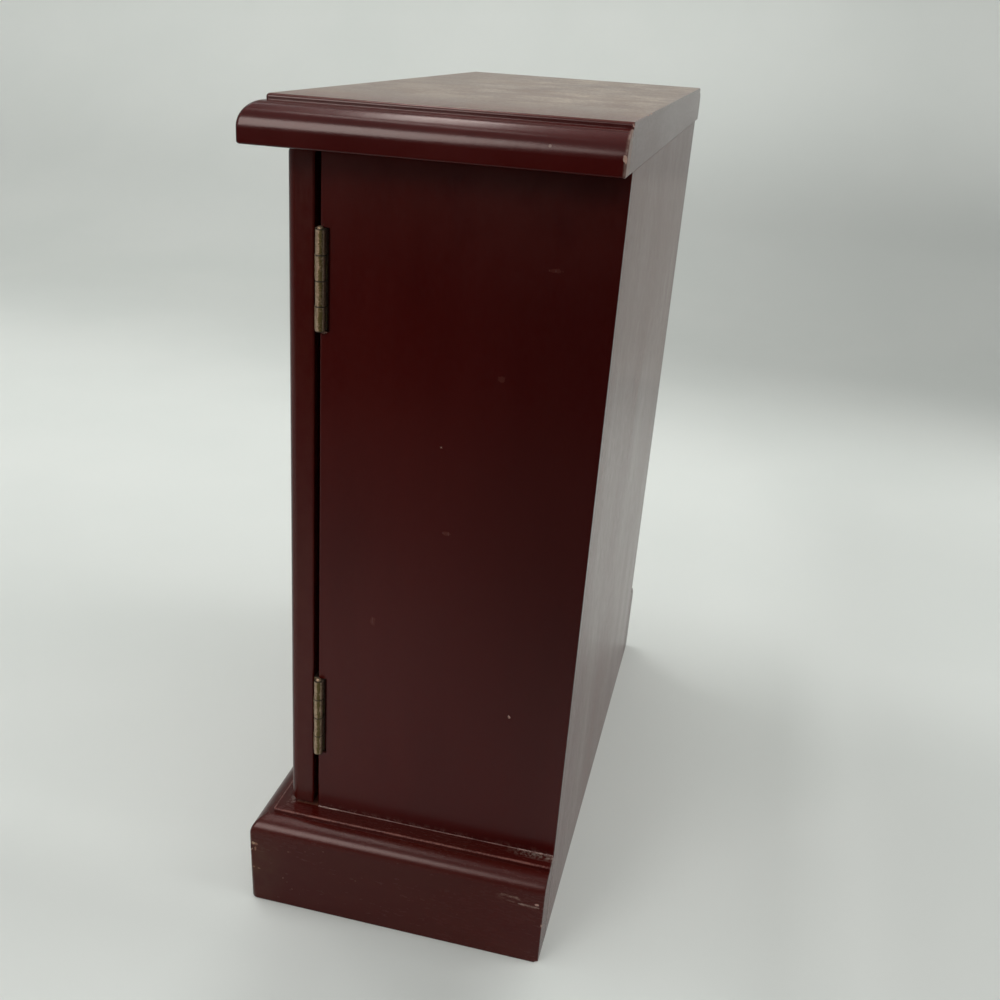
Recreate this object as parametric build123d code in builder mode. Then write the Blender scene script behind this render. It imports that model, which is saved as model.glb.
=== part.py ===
from build123d import *
import os

# Desktop cabinet with two overlay doors, moulded top board and moulded plinth.
# Frame: +Z up, doors face -Y, +X is the right-hand end for someone facing the doors.
# Origin: centre of the bounding box, on the floor.
# All sizes in millimetres.

# ---------------------------------------------------------------- carcass
carcass_w = 278.0          # outer face to outer face of the side panels
panel_d = 112.0            # depth of a side panel, front edge to back face
side_t = 12.0              # thickness of a side panel
plinth_h = 48.0            # floor to the ledge that the doors stand over
top_under = 339.1          # floor to the underside of the top board
top_t = 16.7               # thickness of the top board
bottom_t = 10.0            # bottom board, flush with the ledge
back_t = 4.0               # back panel
rabbet_w = 6.0             # rabbet in the side panel that takes the back panel
dado_d = 4.0               # groove in the side panel that takes the bottom board
shelf_t = 8.0
shelf_z = 186.0            # underside of the shelf

# ---------------------------------------------------------------- mouldings
# both are the same section: square step, narrow flat, quarter round
step_h = 2.2
step_flat = 0.3
top_ovolo_r = 9.0
plinth_ovolo_r = 8.2
top_mould_w = step_flat + top_ovolo_r
plinth_mould_w = step_flat + plinth_ovolo_r
arris_r = 0.7              # softened edge of the step
nose_r = 2.0               # round under the nose of the top board

top_over_side = 9.6        # step edge beyond the side panel's outer face
top_over_front = 15.3      # step edge beyond the side panel's front edge
ledge_side = 8.3           # flat of the plinth beside the carcass
ledge_front = 18.8         # flat of the plinth in front of the carcass

# ---------------------------------------------------------------- doors
door_gap = 2.45            # side panel's front edge to the door's back face
door_t = 11.3
meet_gap = 1.6             # between the two doors
door_low = 1.2             # above the ledge
door_high = 1.0            # under the top board
stile_w = 30.0
top_rail_h = 30.0
bottom_rail_h = 34.0
groove_w = 4.2             # panel groove in the stiles and rails
groove_d = 6.0
panel_edge_t = 4.0
door_round = 4.2           # rounding of the door's front arrises
back_round = 0.8

# ---------------------------------------------------------------- hinges
hinge_l = 38.1             # 1 1/2 inch butt hinge
barrel_r = 1.95
bore_r = 1.00
pin_r = 0.95
leaf_t = 1.0
leaf_crank = 1.0           # the door leaf's plate stands this far in front of the barrel
axis_out = 1.3             # pin axis outside the side panel's outer face
axis_back = 0.5            # pin axis behind the side panel's front edge
leaf_w = 10.8              # leaf, pin axis to free edge
upper_top = 310.3          # top of the upper hinge
lower_top = 117.1          # top of the lower hinge
leaf_screw_dz = 12.2       # screws above and below the hinge's middle
leaf_screw_x = 6.6         # pin axis to the screws

# ---------------------------------------------------------------- derived
side_x = carcass_w / 2                       # outer face of the right side panel
in_x = side_x - side_t                       # its inner face
depth = panel_d + ledge_front + plinth_mould_w   # back face to plinth face
yb = depth / 2                               # back face
yf = yb - panel_d                            # front edge of the side panels
y_plinth = -yb                               # face of the plinth front
stock = ledge_side + plinth_mould_w          # thickness of the plinth boards
y_stock = y_plinth + stock                   # back of the plinth front board
x_plinth = side_x + stock                    # outer face of the plinth sides
x_top = side_x + top_over_side + top_mould_w     # nose of the top board, ends
y_top = yf - top_over_front - top_mould_w        # nose of the top board, front
door_yb = yf - door_gap                      # back face of the doors
door_yf = door_yb - door_t                   # front face of the doors
door_yc = (door_yb + door_yf) / 2
door_z0 = plinth_h + door_low
door_z1 = top_under - door_high
door_h = door_z1 - door_z0
door_x0 = meet_gap / 2                       # meeting edge of the right door
door_x1 = side_x                             # hinge edge of the right door
axis_x = side_x + axis_out
axis_y = yf + axis_back
knuckle = hinge_l / 4
hinge_bottoms = (upper_top - hinge_l, lower_top - hinge_l)

pin_hole_y = (-20.0, 45.0)                   # shelf pin rows, from the front
pin_r_shelf = 2.5
pin_z = shelf_z - pin_r_shelf - 0.02
pin_rows = (pin_z - 32.0, pin_z, pin_z + 32.0)
dowel_y = (-26.0, 14.0, 52.0)
dowel_r = 3.0
dowel_l = 20.0
plinth_screw_y = (-22.0, 42.0)
plinth_screw_z = 20.0
back_pin_z = (22.0, 98.0, 174.0, 250.0, 326.0)
back_pin_x = (-80.0, 0.0, 80.0)

catch_x = 48.0
catch_w, catch_d, catch_h = 34.0, 12.6, 9.6
catch_y0 = yf - 0.8                          # front of the catch housing
catch_screw_x = 14.0
catch_screw_y = catch_y0 + 6.4
strike_w, strike_h, strike_t = 24.0, 8.4, 1.0
strike_z = top_under - 6.0

knob_x = door_x0 + stile_w / 2
knob_z = 196.0
knob_l = 13.0

os.makedirs("parts", exist_ok=True)
finished = []


def keep(builder, label):
    """Label a finished piece, write it out and count its solids."""
    builder.part.label = label
    export_step(builder.part, f"parts/{label}.step")
    finished.append((label, len(builder.part.solids()), builder.part.volume))


def keep_pair(builder, name):
    """A right-hand piece and its left-hand mirror image."""
    keep(builder, name.format("right"))
    with BuildPart() as twin:
        mirror(builder.part, about=Plane.YZ)
    keep(twin, name.format("left"))


def at(value, target, tol=0.01):
    return abs(value - target) < tol


# ================================================================ top board
z_top = top_under + top_t


def nose_section(nose, back):
    """Closed section of the board with its moulded nose at u = nose and a square end at u = back."""
    d = 1 if nose > back else -1
    step = nose - d * top_mould_w
    z_ov = z_top - step_h - top_ovolo_r      # start of the quarter round
    with BuildLine() as outline:
        Polyline((nose - d * nose_r, top_under), (back, top_under), (back, z_top),
                 (step - d * arris_r, z_top))
        RadiusArc((step - d * arris_r, z_top), (step, z_top - arris_r), d * arris_r)
        Polyline((step, z_top - arris_r), (step, z_top - step_h),
                 (nose - d * top_ovolo_r, z_top - step_h))
        RadiusArc((nose - d * top_ovolo_r, z_top - step_h), (nose, z_ov), d * top_ovolo_r)
        Line((nose, z_ov), (nose, top_under + nose_r))
        RadiusArc((nose, top_under + nose_r), (nose - d * nose_r, top_under), d * nose_r)
    return outline


# the board's right end, up to the mitre line of its front corner
with BuildPart() as top_end:
    with BuildSketch(Plane.XZ.offset(-yb)):
        add(nose_section(x_top, -x_top))
        make_face()
    extrude(amount=yb - y_top + 5)
    split(bisect_by=Plane(origin=(x_top, y_top, 0), z_dir=(1, 1, 0)), keep=Keep.TOP)
# the front, between both mitre lines
with BuildPart() as top_front:
    with BuildSketch(Plane.YZ.offset(-x_top)):
        add(nose_section(y_top, yb))
        make_face()
    extrude(amount=2 * x_top)
    for s in (1, -1):
        split(bisect_by=Plane(origin=(s * x_top, y_top, 0), z_dir=(-s, -1, 0)), keep=Keep.TOP)
with BuildPart() as top_board:
    add(top_front.part)
    add(top_end.part)
    mirror(top_end.part, about=Plane.YZ)
    # dowel holes over the side panels
    with Locations(*[(s * (side_x - side_t / 2), y, top_under)
                     for s in (1, -1) for y in dowel_y]):
        Cylinder(dowel_r + 0.02, dowel_l / 2 + 0.2,
                 align=(Align.CENTER, Align.CENTER, Align.MIN), mode=Mode.SUBTRACT)
    # pilot holes of the catch screws
    with Locations(*[(s * (catch_x + d), catch_screw_y, top_under)
                     for s in (1, -1) for d in (-catch_screw_x, catch_screw_x)]):
        Cylinder(1.12, 7.0, align=(Align.CENTER, Align.CENTER, Align.MIN), mode=Mode.SUBTRACT)
keep(top_board, "top_board")

# ================================================================ side panels
with BuildPart() as side_panel:
    with BuildSketch(Plane.XY):
        with Locations((side_x - side_t / 2, (yf + yb) / 2)):
            Rectangle(side_t, panel_d)
        fillet(vertices().filter_by(lambda v: at(v.X, side_x) and at(v.Y, yf)), 0.6)
        fillet(vertices().filter_by(lambda v: at(v.X, side_x) and at(v.Y, yb)), 0.5)
    extrude(amount=top_under)
    # rabbet for the back panel
    with Locations((in_x + rabbet_w / 2, yb - back_t / 2, top_under / 2)):
        Box(rabbet_w, back_t, top_under, mode=Mode.SUBTRACT)
    # groove for the bottom board
    with Locations((in_x + dado_d / 2, (yf + yb - back_t) / 2, plinth_h - bottom_t / 2)):
        Box(dado_d, panel_d - back_t, bottom_t, mode=Mode.SUBTRACT)
    for z0 in hinge_bottoms:
        zc = z0 + hinge_l / 2
        # mortise that takes the side leaf and the folded door leaf
        with Locations((axis_x - leaf_w - 0.1, yf, zc)):
            Box(leaf_w, axis_back + barrel_r, hinge_l + 0.3,
                align=(Align.MIN, Align.MIN, Align.CENTER), mode=Mode.SUBTRACT)
        # relief behind the barrel, seen from the side as a notch
        with Locations((side_x + 0.5, yf, zc)):
            Box(2.7, 3.9, hinge_l + 0.9,
                align=(Align.MAX, Align.MIN, Align.CENTER), mode=Mode.SUBTRACT)
        # pilot holes of the leaf screws
        with Locations(*[Location((axis_x - leaf_screw_x, yf + 2.0, zc + d), (-90, 0, 0))
                         for d in (-leaf_screw_dz, leaf_screw_dz)]):
            Cylinder(1.12, 12.2, align=(Align.CENTER, Align.CENTER, Align.MIN),
                     mode=Mode.SUBTRACT)
    # two rows of shelf pin holes
    with Locations(*[Location((in_x, y, z), (0, 90, 0)) for y in pin_hole_y for z in pin_rows]):
        Cylinder(pin_r_shelf + 0.03, 8.2, align=(Align.CENTER, Align.CENTER, Align.MIN),
                 mode=Mode.SUBTRACT)
    # dowel holes in the top end
    with Locations(*[(side_x - side_t / 2, y, top_under) for y in dowel_y]):
        Cylinder(dowel_r + 0.02, dowel_l / 2 + 0.2,
                 align=(Align.CENTER, Align.CENTER, Align.MAX), mode=Mode.SUBTRACT)
    # countersunk holes of the plinth screws
    with Locations(*[Location((in_x, y, plinth_screw_z), (0, -90, 0)) for y in plinth_screw_y]):
        CounterSinkHole(radius=1.62, counter_sink_radius=3.3, depth=side_t,
                        counter_sink_angle=90)
    # holes of the back panel pins
    with Locations(*[Location((in_x + rabbet_w / 2, yb - back_t, z), (90, 0, 0))
                     for z in back_pin_z]):
        Cylinder(0.62, 10.2, align=(Align.CENTER, Align.CENTER, Align.MIN),
                 mode=Mode.SUBTRACT)
keep_pair(side_panel, "side_panel_{}")

# ================================================================ bottom board
with BuildPart() as bottom_board:
    with BuildSketch(Plane.XY.offset(plinth_h - bottom_t)):
        with Locations((0, (yf + yb - back_t) / 2)):
            Rectangle(2 * (in_x + dado_d), panel_d - back_t)
        with Locations((0, (yf + y_stock) / 2)):
            Rectangle(2 * side_x, yf - y_stock)
    extrude(amount=bottom_t)
    with Locations(*[Location((x, yb - back_t, plinth_h - bottom_t / 2), (90, 0, 0))
                     for x in back_pin_x]):
        Cylinder(0.62, 10.2, align=(Align.CENTER, Align.CENTER, Align.MIN),
                 mode=Mode.SUBTRACT)
keep(bottom_board, "bottom_board")

# ================================================================ back panel and its pins
back_w = 2 * (in_x + rabbet_w) - 0.3
with BuildPart() as back_panel:
    with Locations((0, yb - back_t / 2, top_under / 2)):
        Box(back_w, back_t, top_under)
    with Locations(*[Location((s * (in_x + rabbet_w / 2), yb, z), (90, 0, 0))
                     for s in (1, -1) for z in back_pin_z],
                   *[Location((x, yb, plinth_h - bottom_t / 2), (90, 0, 0))
                     for x in back_pin_x]):
        Cylinder(0.62, back_t, align=(Align.CENTER, Align.CENTER, Align.MIN),
                 mode=Mode.SUBTRACT)
        Cylinder(1.42, 0.42, align=(Align.CENTER, Align.CENTER, Align.MIN),
                 mode=Mode.SUBTRACT)
keep(back_panel, "back_panel")

with BuildPart() as brad:                    # head on the XY plane, point down
    with BuildSketch(Plane.XZ):
        with BuildLine():
            Polyline((0, 0), (1.4, 0), (1.4, -0.4), (0.6, -0.4), (0.6, -12.4), (0, -13.8), (0, 0))
        make_face()
    revolve(axis=Axis.Z)
with BuildPart() as back_panel_pins:
    with Locations(*[Location((s * (in_x + rabbet_w / 2), yb, z), (-90, 0, 0))
                     for s in (1, -1) for z in back_pin_z],
                   *[Location((x, yb, plinth_h - bottom_t / 2), (-90, 0, 0))
                     for x in back_pin_x]):
        add(brad.part)
keep(back_panel_pins, "back_panel_pins")

# ================================================================ plinth
z_po = plinth_h - step_h - plinth_ovolo_r
with BuildPart() as plinth_side:
    with BuildSketch(Plane.XZ.offset(-yb)):
        with BuildLine():
            Polyline((x_plinth - plinth_ovolo_r, plinth_h - step_h), (side_x + ledge_side, plinth_h - step_h),
                     (side_x + ledge_side, plinth_h), (side_x, plinth_h), (side_x, 0),
                     (x_plinth, 0), (x_plinth, z_po))
            CenterArc((x_plinth - plinth_ovolo_r, z_po), plinth_ovolo_r, 0, 90)
        make_face()
        fillet(vertices().filter_by(
            lambda v: at(v.X, side_x + ledge_side) and at(v.Y, plinth_h)), 0.5)
        fillet(vertices().filter_by(lambda v: at(v.X, x_plinth) and at(v.Y, 0)), 0.5)
    extrude(amount=depth)
    split(bisect_by=Plane(origin=(side_x, y_stock, 0), z_dir=(1, 1, 0)), keep=Keep.TOP)
    # pilot holes of the plinth screws
    with Locations(*[Location((side_x, y, plinth_screw_z), (0, 90, 0)) for y in plinth_screw_y]):
        Cylinder(1.62, 10.4, align=(Align.CENTER, Align.CENTER, Align.MIN),
                 mode=Mode.SUBTRACT)
keep_pair(plinth_side, "plinth_side_{}")

with BuildPart() as plinth_front:
    with BuildSketch(Plane.YZ.offset(-x_plinth)):
        with BuildLine():
            Polyline((y_plinth + plinth_ovolo_r, plinth_h - step_h), (y_plinth + plinth_mould_w, plinth_h - step_h),
                     (y_plinth + plinth_mould_w, plinth_h), (y_stock, plinth_h), (y_stock, 0),
                     (y_plinth, 0), (y_plinth, z_po))
            CenterArc((y_plinth + plinth_ovolo_r, z_po), plinth_ovolo_r, 90, 90)
        make_face()
        fillet(vertices().filter_by(
            lambda v: at(v.X, y_plinth + plinth_mould_w) and at(v.Y, plinth_h)), 0.5)
        fillet(vertices().filter_by(lambda v: at(v.X, y_plinth) and at(v.Y, 0)), 0.5)
    extrude(amount=2 * x_plinth)
    for s in (1, -1):
        split(bisect_by=Plane(origin=(s * side_x, y_stock, 0), z_dir=(-s, -1, 0)), keep=Keep.TOP)
keep(plinth_front, "plinth_front")

with BuildPart() as plinth_corner_blocks:
    with Locations(*[(s * (side_x - 11), (y_stock + yf) / 2, 21) for s in (1, -1)]):
        Box(22, yf - y_stock, 34)
keep(plinth_corner_blocks, "plinth_corner_blocks")

with BuildPart() as plinth_glue_blocks:
    z_gb = plinth_h - bottom_t
    for x0 in (-68.0, 32.0):
        with BuildSketch(Plane.YZ.offset(x0)):
            with BuildLine():
                Polyline((y_stock, z_gb), (y_stock + 15, z_gb), (y_stock + 15, z_gb - 3),
                         (y_stock + 3, z_gb - 15), (y_stock, z_gb - 15), (y_stock, z_gb))
            make_face()
        extrude(amount=36)
keep(plinth_glue_blocks, "plinth_glue_blocks")

with BuildPart() as wood_screw_22:           # head on the XY plane, point down
    with BuildSketch(Plane.XZ):
        with BuildLine():
            Polyline((0, 0), (3.2, 0), (1.6, -1.6), (1.6, -19.0), (0, -22.0), (0, 0))
        make_face()
    revolve(axis=Axis.Z)
    with Locations((0, 0, 0)):
        Box(7, 0.8, 1.8, mode=Mode.SUBTRACT)
with BuildPart() as plinth_screws:
    with Locations(*[Location((s * in_x, y, plinth_screw_z), (0, -s * 90, 0))
                     for s in (1, -1) for y in plinth_screw_y]):
        add(wood_screw_22.part)
keep(plinth_screws, "plinth_screws")

# ================================================================ shelf, shelf pins, dowels
with BuildPart() as shelf:
    with Locations((0, (yf + 6 + yb - back_t - 0.5) / 2, shelf_z + shelf_t / 2)):
        Box(2 * (in_x - 0.5), yb - back_t - 0.5 - yf - 6, shelf_t)
    fillet(shelf.edges().filter_by(
        lambda e: at(e.center().Y, yf + 6) and at(abs(e.center().X), 0)
        and abs(e.center().Z - shelf_z - shelf_t / 2) > 3), 1.2)
keep(shelf, "shelf")

with BuildPart() as shelf_pin:               # plug down, peg up, collar on the XY plane
    Cylinder(pin_r_shelf, 8.0, align=(Align.CENTER, Align.CENTER, Align.MAX))
    Cylinder(pin_r_shelf, 7.0, align=(Align.CENTER, Align.CENTER, Align.MIN))
    chamfer(shelf_pin.edges().filter_by(GeomType.CIRCLE).sort_by(Axis.Z)[-1], 0.5)
    chamfer(shelf_pin.edges().filter_by(GeomType.CIRCLE).sort_by(Axis.Z)[0], 0.5)
with BuildPart() as shelf_pins:
    with Locations(*[Location((s * in_x, y, pin_z), (0, -s * 90, 0))
                     for s in (1, -1) for y in pin_hole_y]):
        add(shelf_pin.part)
keep(shelf_pins, "shelf_pins")

with BuildPart() as top_dowels:
    with Locations(*[(s * (side_x - side_t / 2), y, top_under)
                     for s in (1, -1) for y in dowel_y]):
        Cylinder(dowel_r, dowel_l)
keep(top_dowels, "top_dowels")

# ================================================================ butt hinge, right-hand
# local frame: pin axis on Z, foot of the barrel on the XY plane, leaves towards -X.
# Knuckles are counted from the top: 1 and 3 belong to the side leaf, 2 and 4 to the door leaf.
k_z = [(hinge_l - (i + 1) * knuckle, hinge_l - i * knuckle) for i in range(4)]


def butt_leaf(y0, own, other, face, crank=0.0):
    """One leaf: plate, slots for the other leaf's knuckles, own knuckles, screw holes.
    A cranked leaf steps back to its knuckles beside the barrel."""
    edge = 1.75 if crank else 0.0
    with BuildPart() as leaf:
        with Locations((-edge, y0, 0)):
            Box(leaf_w - edge, leaf_t, hinge_l, align=(Align.MAX, Align.MIN, Align.MIN))
        if crank:
            with Locations((-edge, y0, 0)):
                Box(1.35, 0.5 - y0, hinge_l, align=(Align.MAX, Align.MIN, Align.MIN))
        for i in other:
            z0, z1 = k_z[i]
            lo = z0 - (0.1 if z0 > 0.1 else 0.5)
            hi = z1 + (0.1 if z1 < hinge_l - 0.1 else 0.5)
            with Locations((-barrel_r - 0.35, 0, (lo + hi) / 2)):
                Box(5, 6, hi - lo, align=(Align.MIN, Align.CENTER, Align.CENTER),
                    mode=Mode.SUBTRACT)
        for i in own:
            z0, z1 = k_z[i]
            lo = z0 + (0.1 if z0 > 0.1 else 0.0)
            hi = z1 - (0.1 if z1 < hinge_l - 0.1 else 0.0)
            with Locations((0, 0, lo)):
                Cylinder(barrel_r, hi - lo, align=(Align.CENTER, Align.CENTER, Align.MIN))
        with Locations((0, 0, -1)):
            Cylinder(bore_r, hinge_l + 2, align=(Align.CENTER, Align.CENTER, Align.MIN),
                     mode=Mode.SUBTRACT)
        with Locations(*[Location((-leaf_screw_x, y0 + (leaf_t if face > 0 else 0),
                                   hinge_l / 2 + d), (-90 * face, 0, 0))
                         for d in (-leaf_screw_dz, leaf_screw_dz)]):
            CounterSinkHole(radius=1.18, counter_sink_radius=2.2, depth=leaf_t,
                            counter_sink_angle=90)
    return leaf


side_leaf = butt_leaf(barrel_r - leaf_t, own=(0, 2), other=(1, 3), face=-1)
door_leaf = butt_leaf(-barrel_r - leaf_crank, own=(1, 3), other=(0, 2), face=1, crank=leaf_crank)

# the end of the rolled sheet shows as a fine seam down the side leaf's knuckles
with BuildPart() as side_leaf_seamed:
    add(side_leaf.part)
    for i in (0, 2):
        z0, z1 = k_z[i]
        with Locations(Location((0, 0, (z0 + z1) / 2), (0, 0, 43))):
            with Locations((barrel_r, 0, 0)):
                Box(0.5, 0.22, knuckle + 0.2, mode=Mode.SUBTRACT)

with BuildPart() as pin:                     # shank with a domed head at the top, cut flush below
    with BuildSketch(Plane.XZ):
        with BuildLine():
            Polyline((0, 0), (pin_r, 0), (pin_r, hinge_l), (1.3, hinge_l), (1.3, hinge_l + 0.25),
                     (1.1, hinge_l + 0.65), (0.7, hinge_l + 0.95), (0, hinge_l + 1.1), (0, 0))
        make_face()
    revolve(axis=Axis.Z)

for level, z0 in zip(("upper", "lower"), hinge_bottoms):
    spot = Location((axis_x, axis_y, z0))
    for piece, name in ((side_leaf_seamed, "hinge_{}_{{}}_side_leaf"),
                        (door_leaf, "hinge_{}_{{}}_door_leaf"),
                        (pin, "hinge_{}_{{}}_pin")):
        with BuildPart() as placed:
            with Locations(spot):
                add(piece.part)
        keep_pair(placed, name.format(level))

with BuildPart() as leaf_screw_12:           # head on the XY plane, point down
    with BuildSketch(Plane.XZ):
        with BuildLine():
            Polyline((0, 0), (2.15, 0), (1.1, -1.0), (1.1, -10.0), (0, -12.0), (0, 0))
        make_face()
    revolve(axis=Axis.Z)
    Box(5, 0.5, 0.9, mode=Mode.SUBTRACT)
with BuildPart() as leaf_screw_9:
    with BuildSketch(Plane.XZ):
        with BuildLine():
            Polyline((0, 0), (2.15, 0), (1.1, -1.0), (1.1, -7.4), (0, -9.0), (0, 0))
        make_face()
    revolve(axis=Axis.Z)
    Box(5, 0.5, 0.9, mode=Mode.SUBTRACT)

leaf_screw_zs = [z0 + hinge_l / 2 + d for z0 in hinge_bottoms
                 for d in (-leaf_screw_dz, leaf_screw_dz)]
with BuildPart() as hinge_screws_carcass:
    with Locations(*[Location((s * (axis_x - leaf_screw_x), axis_y + barrel_r - leaf_t, z),
                              (90, 0, 0))
                     for s in (1, -1) for z in leaf_screw_zs]):
        add(leaf_screw_12.part)
keep(hinge_screws_carcass, "hinge_screws_carcass")

with BuildPart() as hinge_screws_door:
    with Locations(*[Location((axis_x - leaf_screw_x, axis_y - barrel_r - leaf_crank + leaf_t, z),
                              (-90, 0, 0)) for z in leaf_screw_zs]):
        add(leaf_screw_9.part)
keep_pair(hinge_screws_door, "hinge_screws_door_{}")

# ================================================================ magnetic catches
with BuildPart() as catch_housing:
    with Locations((catch_x, catch_y0, top_under)):
        Box(catch_w, catch_d, catch_h, align=(Align.CENTER, Align.MIN, Align.MAX))
    fillet(catch_housing.edges().filter_by(Axis.Z), 1.2)
    # slot for the magnet and its pole plates, open at the front
    with Locations((catch_x, catch_y0, top_under - catch_h / 2)):
        Box(20.4, 10.4, 5.9, align=(Align.CENTER, Align.MIN, Align.CENTER), mode=Mode.SUBTRACT)
    with Locations(*[Location((catch_x + d, catch_screw_y, top_under - catch_h), (180, 0, 0))
                     for d in (-catch_screw_x, catch_screw_x)]):
        CounterSinkHole(radius=1.18, counter_sink_radius=2.2, depth=catch_h,
                        counter_sink_angle=90)
keep_pair(catch_housing, "catch_{}_housing")

with BuildPart() as catch_magnet:
    with Locations((catch_x, catch_y0 + 0.4, top_under - catch_h / 2)):
        Box(20.0, 9.8, 3.8, align=(Align.CENTER, Align.MIN, Align.CENTER))
keep_pair(catch_magnet, "catch_{}_magnet")

with BuildPart() as catch_pole_plates:
    with Locations(*[(catch_x, catch_y0 - 0.4, top_under - catch_h / 2 + d)
                     for d in (-2.4, 2.4)]):
        Box(20.0, 10.6, 1.0, align=(Align.CENTER, Align.MIN, Align.CENTER))
keep_pair(catch_pole_plates, "catch_{}_pole_plates")

with BuildPart() as catch_screw:
    with BuildSketch(Plane.XZ):
        with BuildLine():
            Polyline((0, 0), (2.15, 0), (1.1, -1.0), (1.1, -14.4), (0, -16.4), (0, 0))
        make_face()
    revolve(axis=Axis.Z)
    Box(5, 0.5, 0.9, mode=Mode.SUBTRACT)
with BuildPart() as catch_screws:
    with Locations(*[Location((s * (catch_x + d), catch_screw_y, top_under - catch_h), (180, 0, 0))
                     for s in (1, -1) for d in (-catch_screw_x, catch_screw_x)]):
        add(catch_screw.part)
keep(catch_screws, "catch_screws")

# ================================================================ right door (left one mirrored)
gy0 = door_yc - groove_w / 2
open_x0 = door_x0 + stile_w                  # sight opening of the frame
open_x1 = door_x1 - stile_w
open_z0 = door_z0 + bottom_rail_h
open_z1 = door_z1 - top_rail_h


def outer(edge, x_out):
    """Front arrises of a stile on the door's outline: its outer edge and both ends."""
    c = edge.center()
    return at(c.Y, door_yf) and (at(c.X, x_out) or at(c.Z, door_z0) or at(c.Z, door_z1))


def outer_back(edge, x_out):
    c = edge.center()
    return at(c.Y, door_yb) and (at(c.X, x_out) or at(c.Z, door_z0) or at(c.Z, door_z1))


with BuildPart() as hinge_stile:
    with Locations(((open_x1 + door_x1) / 2, door_yc, (door_z0 + door_z1) / 2)):
        Box(stile_w, door_t, door_h)
    fillet(hinge_stile.edges().filter_by(lambda e: outer(e, door_x1)), door_round)
    fillet(hinge_stile.edges().filter_by(lambda e: outer_back(e, door_x1)), back_round)
    with Locations((open_x1, door_yc, (door_z0 + door_z1) / 2)):
        Box(groove_d, groove_w, door_h + 2, align=(Align.MIN, Align.CENTER, Align.CENTER),
            mode=Mode.SUBTRACT)
    with Locations(*[Location((axis_x - leaf_screw_x, door_yb, z), (90, 0, 0))
                     for z in leaf_screw_zs]):
        Cylinder(1.12, 8.2, align=(Align.CENTER, Align.CENTER, Align.MIN), mode=Mode.SUBTRACT)
keep_pair(hinge_stile, "door_{}_hinge_stile")

with BuildPart() as meeting_stile:
    with Locations(((open_x0 + door_x0) / 2, door_yc, (door_z0 + door_z1) / 2)):
        Box(stile_w, door_t, door_h)
    fillet(meeting_stile.edges().filter_by(lambda e: outer(e, door_x0)), door_round)
    fillet(meeting_stile.edges().filter_by(lambda e: outer_back(e, door_x0)), back_round)
    with Locations((open_x0, door_yc, (door_z0 + door_z1) / 2)):
        Box(groove_d, groove_w, door_h + 2, align=(Align.MAX, Align.CENTER, Align.CENTER),
            mode=Mode.SUBTRACT)
    with Locations(Location((knob_x, door_yb + 1, knob_z), (90, 0, 0))):
        Cylinder(1.5, door_t + 2, align=(Align.CENTER, Align.CENTER, Align.MIN),
                 mode=Mode.SUBTRACT)
keep_pair(meeting_stile, "door_{}_meeting_stile")

open_w = open_x1 - open_x0
mid_x = (open_x0 + open_x1) / 2
for z0, z1, z_out, name in ((door_z1 - top_rail_h, door_z1, door_z1, "door_{}_top_rail"),
                            (door_z0, door_z0 + bottom_rail_h, door_z0, "door_{}_bottom_rail")):
    with BuildPart() as rail:
        with Locations((mid_x, door_yc, (z0 + z1) / 2)):
            Box(open_w, door_t, z1 - z0)
        fillet(rail.edges().filter_by(
            lambda e: at(e.center().Y, door_yf) and at(e.center().Z, z_out)), door_round)
        fillet(rail.edges().filter_by(
            lambda e: at(e.center().Y, door_yb) and at(e.center().Z, z_out)), back_round)
        # stub tenons in the stiles' grooves
        with Locations((mid_x, door_yc, (z0 + z1) / 2)):
            Box(open_w + 2 * groove_d - 0.4, groove_w - 0.1, z1 - z0 - 0.1)
        # groove for the panel
        z_in = z0 if z_out == z1 else z1
        with Locations((mid_x, door_yc, z_in)):
            Box(open_w + 2 * groove_d, groove_w, groove_d,
                align=(Align.CENTER, Align.CENTER, Align.MIN if z_out == z1 else Align.MAX),
                mode=Mode.SUBTRACT)
        if z_out == z1:
            # pilot hole of the strike plate's screw
            with Locations(Location((catch_x, door_yb, strike_z), (90, 0, 0))):
                Cylinder(1.12, 7.2, align=(Align.CENTER, Align.CENTER, Align.MIN),
                         mode=Mode.SUBTRACT)
    keep_pair(rail, name)

# fielded panel: thin tongue, flat margin, bevel, small step, raised field
margin, bevel, bevel_h, field_h = 8.0, 10.0, 1.6, 0.7
open_h = open_z1 - open_z0
mid_z = (open_z0 + open_z1) / 2
panel_yf = door_yc - panel_edge_t / 2
with BuildPart() as door_panel:
    with Locations((mid_x, door_yc, mid_z)):
        Box(open_w + 2 * groove_d - 1.0, panel_edge_t, open_h + 2 * groove_d - 1.0)
    with BuildSketch(Plane.XZ.offset(-panel_yf)):
        with Locations((mid_x, mid_z)):
            Rectangle(open_w - 2 * margin, open_h - 2 * margin)
    with BuildSketch(Plane.XZ.offset(-panel_yf + bevel_h)):
        with Locations((mid_x, mid_z)):
            Rectangle(open_w - 2 * (margin + bevel), open_h - 2 * (margin + bevel))
    loft()
    with BuildSketch(Plane.XZ.offset(-panel_yf + bevel_h)):
        with Locations((mid_x, mid_z)):
            Rectangle(open_w - 2 * (margin + bevel), open_h - 2 * (margin + bevel))
    extrude(amount=field_h)
keep_pair(door_panel, "door_{}_panel")

# bead round the panel: four strips with mitred ends, profile against the frame and the panel
bead_w, bead_h = 4.2, 3.3


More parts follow.
